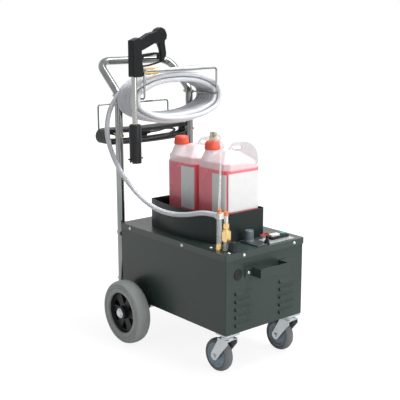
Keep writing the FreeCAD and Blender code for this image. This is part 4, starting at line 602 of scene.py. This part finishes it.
for side, sign in (("left", -1), ("right", 1)):
    ringed_tyre(side, sign)
    broken_edges(f"rim_{side}", black_mould, 0.9, 2, f"{side}_wheel")
even_shading("rear_axle", zinc)
brackets = broken_edges("axle_brackets", housing_coat, 0.5)
for vertex in brackets.data.vertices:
    beside = (vertex.co - at(0, WHEEL_BACK, WHEEL_RADIUS)).y
    if vertex.co.z < BRACKET_TOP and abs(beside) > BRACKET_HALF:
        vertex.co.y -= math.copysign(abs(beside) - BRACKET_HALF, beside)


# Front casters. Pressed zinc forks swivel under a plate on their raised bowls and carry grey rubber
# wheels with blue-grey centres on a bolt.

caster_rubber = rubber("caster_tyre", (0.10, 0.108, 0.112), (0.155, 0.165, 0.170))
caster_blue = mottled("caster_centre", (0.20, 0.25, 0.31), (0.29, 0.35, 0.41), 0.4, 60)
broken_edges("caster_plates", zinc, 0.8)
for side in ("left", "right"):
    wheel = f"{side}_caster_wheel"
    broken_edges(f"caster_fork_{side}", zinc, 0.8, 2, f"{side}_swivel")
    broken_edges(f"caster_tyre_{side}", caster_rubber, 1.2, 3, wheel)
    broken_edges(f"caster_rim_{side}", caster_blue, 0.8, 2, wheel)


# Tray. A folded and coated steel bin with a rounded left wall, standing on the lid, its front left
# bare.

tray_coat = powder_coat("tray_coat", (0.014, 0.020, 0.019), (0.020, 0.029, 0.027), 0.34, 0.18)
broken_edges("tray", tray_coat, 0.4, 2)


# Detergent cans. Blow-moulded natural polyethylene, filled with a pink-red liquid to just under the
# shoulder, with a plain white label on the front and on the left wall, and ribbed orange-red caps.

LIQUID_LEVEL = 572
CAN_MIDDLE = 2
CAN_PLACES = {1: 58, 2: -86}
NECK_ASIDE = 34
CAN_EDGE = 67.4
CAN_CORNER_CUT = 15
CAN_FLOOR = 366.2
CAN_SHOULDER = 592
HOOD_EDGE = 30
HOOD_TOP = 622
HANDLE_TURN = -45
HANDLE_HALF = 17
HANDLE_ARCH = [(0, 585), (1, 622), (5, 634), (12, 642), (22, 647), (34, 649.5), (46, 650),
               (60, 648), (72, 641), (82, 628), (88, 610), (89, 585)]
HANDLE_EYE = [(9, 625), (12, 621.5), (33, 621.5), (37, 625), (37, 631), (34, 634.5),
              (13, 634.5), (9, 631)]
SKIN_GRAIN = 1.6
can_skin = new_finish("natural_polyethylene", (0.86, 0.84, 0.86), 0.26)
sockets(can_skin)["Alpha"].default_value = 0.66
can_tree = can_skin.node_tree
can_place = can_tree.nodes.new("ShaderNodeTexCoord")
can_parts = can_tree.nodes.new("ShaderNodeSeparateXYZ")
can_height = can_tree.nodes.new("ShaderNodeMapRange")
can_height.inputs["From Min"].default_value = (LIQUID_LEVEL - 3) * MM
can_height.inputs["From Max"].default_value = (LIQUID_LEVEL + 2) * MM
can_stain = can_tree.nodes.new("ShaderNodeValToRGB")
can_stain.color_ramp.elements[0].color = (1.0, 0.29, 0.35, 1)
can_stain.color_ramp.elements[1].color = (0.88, 0.86, 0.88, 1)
can_tree.links.new(can_place.outputs["Object"], can_parts.inputs[0])
can_tree.links.new(can_parts.outputs["Z"], can_height.inputs["Value"])
can_tree.links.new(can_height.outputs[0], can_stain.inputs["Fac"])
can_tree.links.new(can_stain.outputs["Color"], sockets(can_skin)["Base Color"])
can_cloud = noise_on(can_skin, 18, 3)
spread(can_skin, can_cloud.outputs["Fac"], "Roughness", 0.22, 0.32)
grain(can_skin, noise_on(can_skin, 60, 2).outputs["Fac"], 0.0008, 0.25)
liquid_finish = mottled("pink_liquid", (0.88, 0.12, 0.16), (0.95, 0.16, 0.20), 0.3, 5, detail=2)
cap_finish = mottled("orange_red_cap", (0.72, 0.07, 0.03), (0.86, 0.11, 0.055), 0.36, 45)


def solid_part(outline, low, high, place, turn=0):
    """A slab of a given outline, lying flat, or stood on edge and turned round the upright."""
    count = len(outline)
    corners = [(x, y, low) for x, y in outline] + [(x, y, high) for x, y in outline]
    faces = [tuple(range(count))[::-1], tuple(range(count, 2 * count))]
    faces += [(n, (n + 1) % count, (n + 1) % count + count, n + count) for n in range(count)]
    part = drawn("can_part", corners, [], faces)
    if turn:
        part.data.transform(Matrix.Rotation(math.radians(90), 4, "X"))
        part.data.transform(Matrix.Rotation(math.radians(turn), 4, "Z"))
    part.data.transform(Matrix.Translation(Vector(place)))
    return part


def cone_part(low_radius, high_radius, low, high, x, y):
    """A round part of the can, straight or tapered."""
    bpy.ops.mesh.primitive_cone_add(vertices=48, radius1=low_radius, radius2=high_radius,
                                    depth=high - low)
    part = bpy.context.object
    part.data.transform(Matrix.Translation(Vector((x, y, (low + high) / 2))))
    return part


def fused(trunk):
    """Turns the joined parts of the active can into one even skin."""
    applied(trunk, "REMESH", mode="VOXEL", voxel_size=SKIN_GRAIN * MM)


def blown_can(number, body):
    """A square can: trunk, sloping hood, cone up to the neck and an arched handle."""
    x, y = CAN_MIDDLE, CAN_PLACES[number]
    near, far = CAN_EDGE, CAN_EDGE - CAN_CORNER_CUT
    corner = [(near + (far - near) * cut, far + (near - far) * cut) for cut in (0, 0.3, 0.7, 1)]
    wall = [(side * across, end * along)
            for side, end, order in ((1, 1, 1), (-1, 1, -1), (-1, -1, 1), (1, -1, -1))
            for across, along in corner[::order]]
    trunk = solid_part(wall, CAN_FLOOR, CAN_SHOULDER, (x, y, 0))
    hood = solid_part(wall, CAN_SHOULDER - 1, HOOD_TOP, (x, y, 0))
    for vertex in hood.data.vertices[len(wall):]:
        vertex.co.x = x + (vertex.co.x - x) * HOOD_EDGE / CAN_EDGE
        vertex.co.y = y + (vertex.co.y - y) * HOOD_EDGE / CAN_EDGE
    arch = solid_part(HANDLE_ARCH, -HANDLE_HALF, HANDLE_HALF, (x, y, 0), HANDLE_TURN)
    throat = cone_part(34, 20.5, 590, 621.4, x - NECK_ASIDE, y + NECK_ASIDE)
    neck = cone_part(18.7, 18.7, 600, 640, x - NECK_ASIDE, y + NECK_ASIDE)
    eye = solid_part(HANDLE_EYE, -40, 40, (x, y, 0), HANDLE_TURN)
    alone(trunk)
    for part in (hood, arch, throat, neck):
        part.select_set(True)
    bpy.ops.object.join()
    trunk.name = f"blown_can_{number}"
    for part in (trunk, eye):
        part.data.transform(Matrix.Scale(MM, 4))
        part.data.transform(Matrix.Translation(at(0, 0, 0)))
    fused(trunk)
    applied(trunk, "BOOLEAN", object=eye, operation="DIFFERENCE")
    bpy.data.objects.remove(eye)
    fused(trunk)
    applied(trunk, "SMOOTH", factor=0.5, iterations=24)
    bpy.ops.object.shade_smooth()
    trunk.data.materials.append(can_skin)
    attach(trunk, body)
    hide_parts(f"can_{number}_body")


CAP_RIBS = 36
RIB_HEIGHT = 0.55


def ribbed_cap(number, body, hole):
    """A screw cap with ribs round its skirt, a narrower crown and a hole of a given radius."""
    x, y = CAN_MIDDLE - NECK_ASIDE, CAN_PLACES[number] + NECK_ASIDE
    around = CAP_RIBS * 4
    rings = [(22.6, 622), (23.0, 623), (22.8, 627), (21.6, 632), (20.7, 638), (19.8, 643),
             (17.0, 646.4), (14, 647), (hole, 647), (hole, 644), (15, 643.6), (17.8, 642),
             (19.0, 634), (19.0, 622)]
    corners, faces = [], []
    for reach, level in rings:
        for step in range(around):
            angle = 2 * math.pi * step / around
            ribbed = step % 4 in (1, 2) and reach > 19.1 and 623 < level < 644
            out = reach + (RIB_HEIGHT if ribbed else 0)
            corners.append(at(x - out * math.sin(angle), y + out * math.cos(angle), level))
    for ring in range(len(rings)):
        after = (ring + 1) % len(rings)
        faces += [(ring * around + n, ring * around + (n + 1) % around,
                   after * around + (n + 1) % around, after * around + n) for n in range(around)]
    cap = drawn(f"ribbed_cap_{number}", corners, [], faces)
    outward()
    bpy.ops.object.shade_smooth_by_angle(angle=math.radians(35))
    cap.data.materials.append(cap_finish)
    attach(cap, body)
    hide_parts(f"can_{number}_cap")


for number, body, cap_body, hole in ((1, "rear_can", "rear_can_cap", 0.5),
                                     (2, "cart", "cart", 4.1)):
    blown_can(number, body)
    coat(liquid_finish, f"can_{number}_liquid")
    ribbed_cap(number, cap_body, hole)


label_paper = mottled("label_paper", (0.73, 0.73, 0.73), (0.77, 0.77, 0.77), 0.5, 60, detail=4)
grain(label_paper, noise_on(label_paper, 500, 2).outputs["Fac"], 0.0001, 0.2)
CAN_CORNER = 16
CAN_FLAT = 52
LABEL_LIFT = 0.35
LABEL_THICK = 0.25


def paper_label(name, number, wall, wide, tall, middle, level, body):
    """A blank paper label glued on a can's wall, following it round the corner."""
    bpy.ops.object.select_all(action="DESELECT")
    bpy.ops.mesh.primitive_grid_add(x_subdivisions=40, y_subdivisions=2, size=1)
    label = bpy.context.object
    label.name = name
    for vertex in label.data.vertices:
        along, up = vertex.co.x * wide + middle, vertex.co.y * tall + level
        past = max(0.0, abs(along) - CAN_FLAT)
        fall = CAN_CORNER - math.sqrt(max(0.0, CAN_CORNER ** 2 - past ** 2))
        out = CAN_CORNER + CAN_FLAT - fall + LABEL_LIFT
        if wall == "front":
            vertex.co = at(CAN_MIDDLE + along, CAN_PLACES[number] - out, up)
        else:
            vertex.co = at(CAN_MIDDLE - out, CAN_PLACES[number] - along, up)
    applied(label, "SOLIDIFY", thickness=LABEL_THICK * MM, offset=-1)
    bpy.ops.object.shade_smooth_by_angle(angle=math.radians(40))
    label.data.materials.append(label_paper)
    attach(label, body)


paper_label("front_can_label", 2, "front", wide=118, tall=112, middle=-1, level=507, body="cart")
paper_label("front_can_side_label", 2, "left", wide=58, tall=116, middle=34, level=503,
            body="cart")
paper_label("rear_can_side_label", 1, "left", wide=58, tall=128, middle=34, level=500,
            body="rear_can")


# Suction fitting. A brass elbow screwed through the front can's cap, with its dip tube and strainer
# below in the liquid.

brass = mottled("turned_brass", (0.66, 0.46, 0.20), (0.76, 0.56, 0.27), (0.18, 0.36), 22,
                metallic=1.0)
dull_brass = mottled("dull_brass", (0.36, 0.32, 0.24), (0.56, 0.51, 0.40), 0.3, 30, metallic=1.0)
broken_edges("suction_fitting", dull_brass, 0.4)


# Foam gun. A two-shell black nylon moulding with a hooked guard, its trigger on a cross pin, and
# the plated lance that ends in a thick black nozzle.

def moulded(name, finish, voxel, rounds, body):
    """A copy of a CAD node remeshed and relaxed until its edges are as soft as a moulding's."""
    copy = copied(name)
    applied(copy, "REMESH", mode="VOXEL", voxel_size=voxel * MM)
    applied(copy, "SMOOTH", factor=0.5, iterations=rounds)
    bpy.ops.object.shade_smooth()
    copy.data.materials.clear()
    copy.data.materials.append(finish)
    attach(copy, body)
    return copy


gun_nylon = new_finish("gun_nylon", (0.010, 0.012, 0.013), 0.34)
sockets(gun_nylon)["Specular IOR Level"].default_value = 0.1
gun_cloud = noise_on(gun_nylon, 20, 3)
spread(gun_nylon, gun_cloud.outputs["Fac"], "Roughness", 0.3, 0.46)
grain(gun_nylon, noise_on(gun_nylon, 1100, 1).outputs["Fac"], 0.0002, 0.35)
lance_steel = new_finish("lance_steel", (0.33, 0.33, 0.315), 0.16, 1.0)
lance_haze = noise_on(lance_steel, 40, 3, (1, 1, 0.2))
spread(lance_steel, lance_haze.outputs["Fac"], "Roughness", 0.12, 0.24)
moulded("gun_body", gun_nylon, 1.0, 14, "cart")
moulded("trigger", gun_nylon, 0.9, 4, "trigger_lever")
coat(lance_steel, "lance")
broken_edges("nozzle", black_mould, 0.8, 2, "foam_nozzle")
broken_edges("gun_inlet", brass, 0.5)


# Regulator and flow meter. Turned brass with a white nylon block and sleeves, orange push-in rings
# and a clear tube between them.

white_nylon = mottled("white_nylon", (0.68, 0.68, 0.65), (0.80, 0.80, 0.77), 0.4, 50)
orange_ring = mottled("orange_ring", (0.78, 0.18, 0.035), (0.90, 0.27, 0.07), 0.4, 80)
broken_edges("brass_fittings", brass, 0.4)
broken_edges("white_fittings", white_nylon, 0.6)
broken_edges("push_in_rings", orange_ring, 0.3)
clear_acrylic = new_finish("clear_acrylic", (0.80, 0.84, 0.84), 0.1)
acrylic_shade = noise_on(clear_acrylic, 60, 2)
spread(clear_acrylic, acrylic_shade.outputs["Fac"], "Roughness", 0.04, 0.12)
sockets(clear_acrylic)["Alpha"].default_value = 0.3
coat(clear_acrylic, "meter_tube")


# Knobs, lever and switches. Fluted grey and black knobs, a red dipped lever on the shut-off valve,
# and a start and a stop button in one black block on a bright plate.

SWITCH_PLATE_LEFT = 22
grey_mould = mottled("grey_moulding", (0.09, 0.115, 0.13), (0.13, 0.165, 0.18), 0.38, 50)
bright_plate = mottled("bright_plate", (0.44, 0.46, 0.46), (0.58, 0.60, 0.60), 0.34, 80,
                       metallic=0.6, stretch=(1, 12, 1))
red_dip = mottled("red_dipped", (0.28, 0.022, 0.014), (0.40, 0.04, 0.025), 0.3, 60)
green_mould = mottled("green_moulding", (0.015, 0.14, 0.125), (0.03, 0.21, 0.185), 0.3, 60)
broken_edges("grey_knob", grey_mould, 0.5, 2, "dosing_knob")
broken_edges("black_knob", black_mould, 0.5, 2, "air_knob")
broken_edges("red_lever", red_dip, 1.0, 3, "valve_lever")
broken_edges("switch_block", black_mould, 0.6)
broken_edges("white_button", white_nylon, 1.0, 3, "start_button")
broken_edges("green_button", green_mould, 1.0, 3, "stop_button")
dark_plate = mottled("dark_plate", (0.05, 0.062, 0.068), (0.075, 0.09, 0.097), 0.3, 50)
plates = broken_edges("control_plates", bright_plate, 0.4)
plates.data.materials.append(dark_plate)
for face in plates.data.polygons:
    if face.center.x < SWITCH_PLATE_LEFT * MM:
        face.material_index = 1
coat(zinc, "lid_valves")
nodes["lid_valves"].data.materials.append(black_mould)
for face in nodes["lid_valves"].data.polygons:
    if face.center.x > 0:
        face.material_index = 1


# Motor and pump. What the closed housing holds, on its base and rubber feet: it shows only through
# the louvres, so the CAD pieces stay and get their castings' finish.

def cast(name, dark, light, metallic):
    """A painted or bare casting with a rough skin."""
    finish = mottled(name, dark, light, 0.5, 120, detail=4, metallic=metallic)
    grain(finish, noise_on(finish, 120, 4).outputs["Fac"], 0.0005)
    return finish


coat(cast("motor_casting", (0.08, 0.09, 0.11), (0.12, 0.13, 0.16), 0.0), "motor")
coat(cast("pump_casting", (0.30, 0.30, 0.29), (0.42, 0.42, 0.40), 1.0), "pump_head")
coat(cast("fan_moulding", (0.015, 0.015, 0.017), (0.025, 0.025, 0.028), 0.0), "motor_fan")
coat(zinc, "motor_base")
coat(cable_finish, "inner_lines")
coat(black_mould, "mains_plug")


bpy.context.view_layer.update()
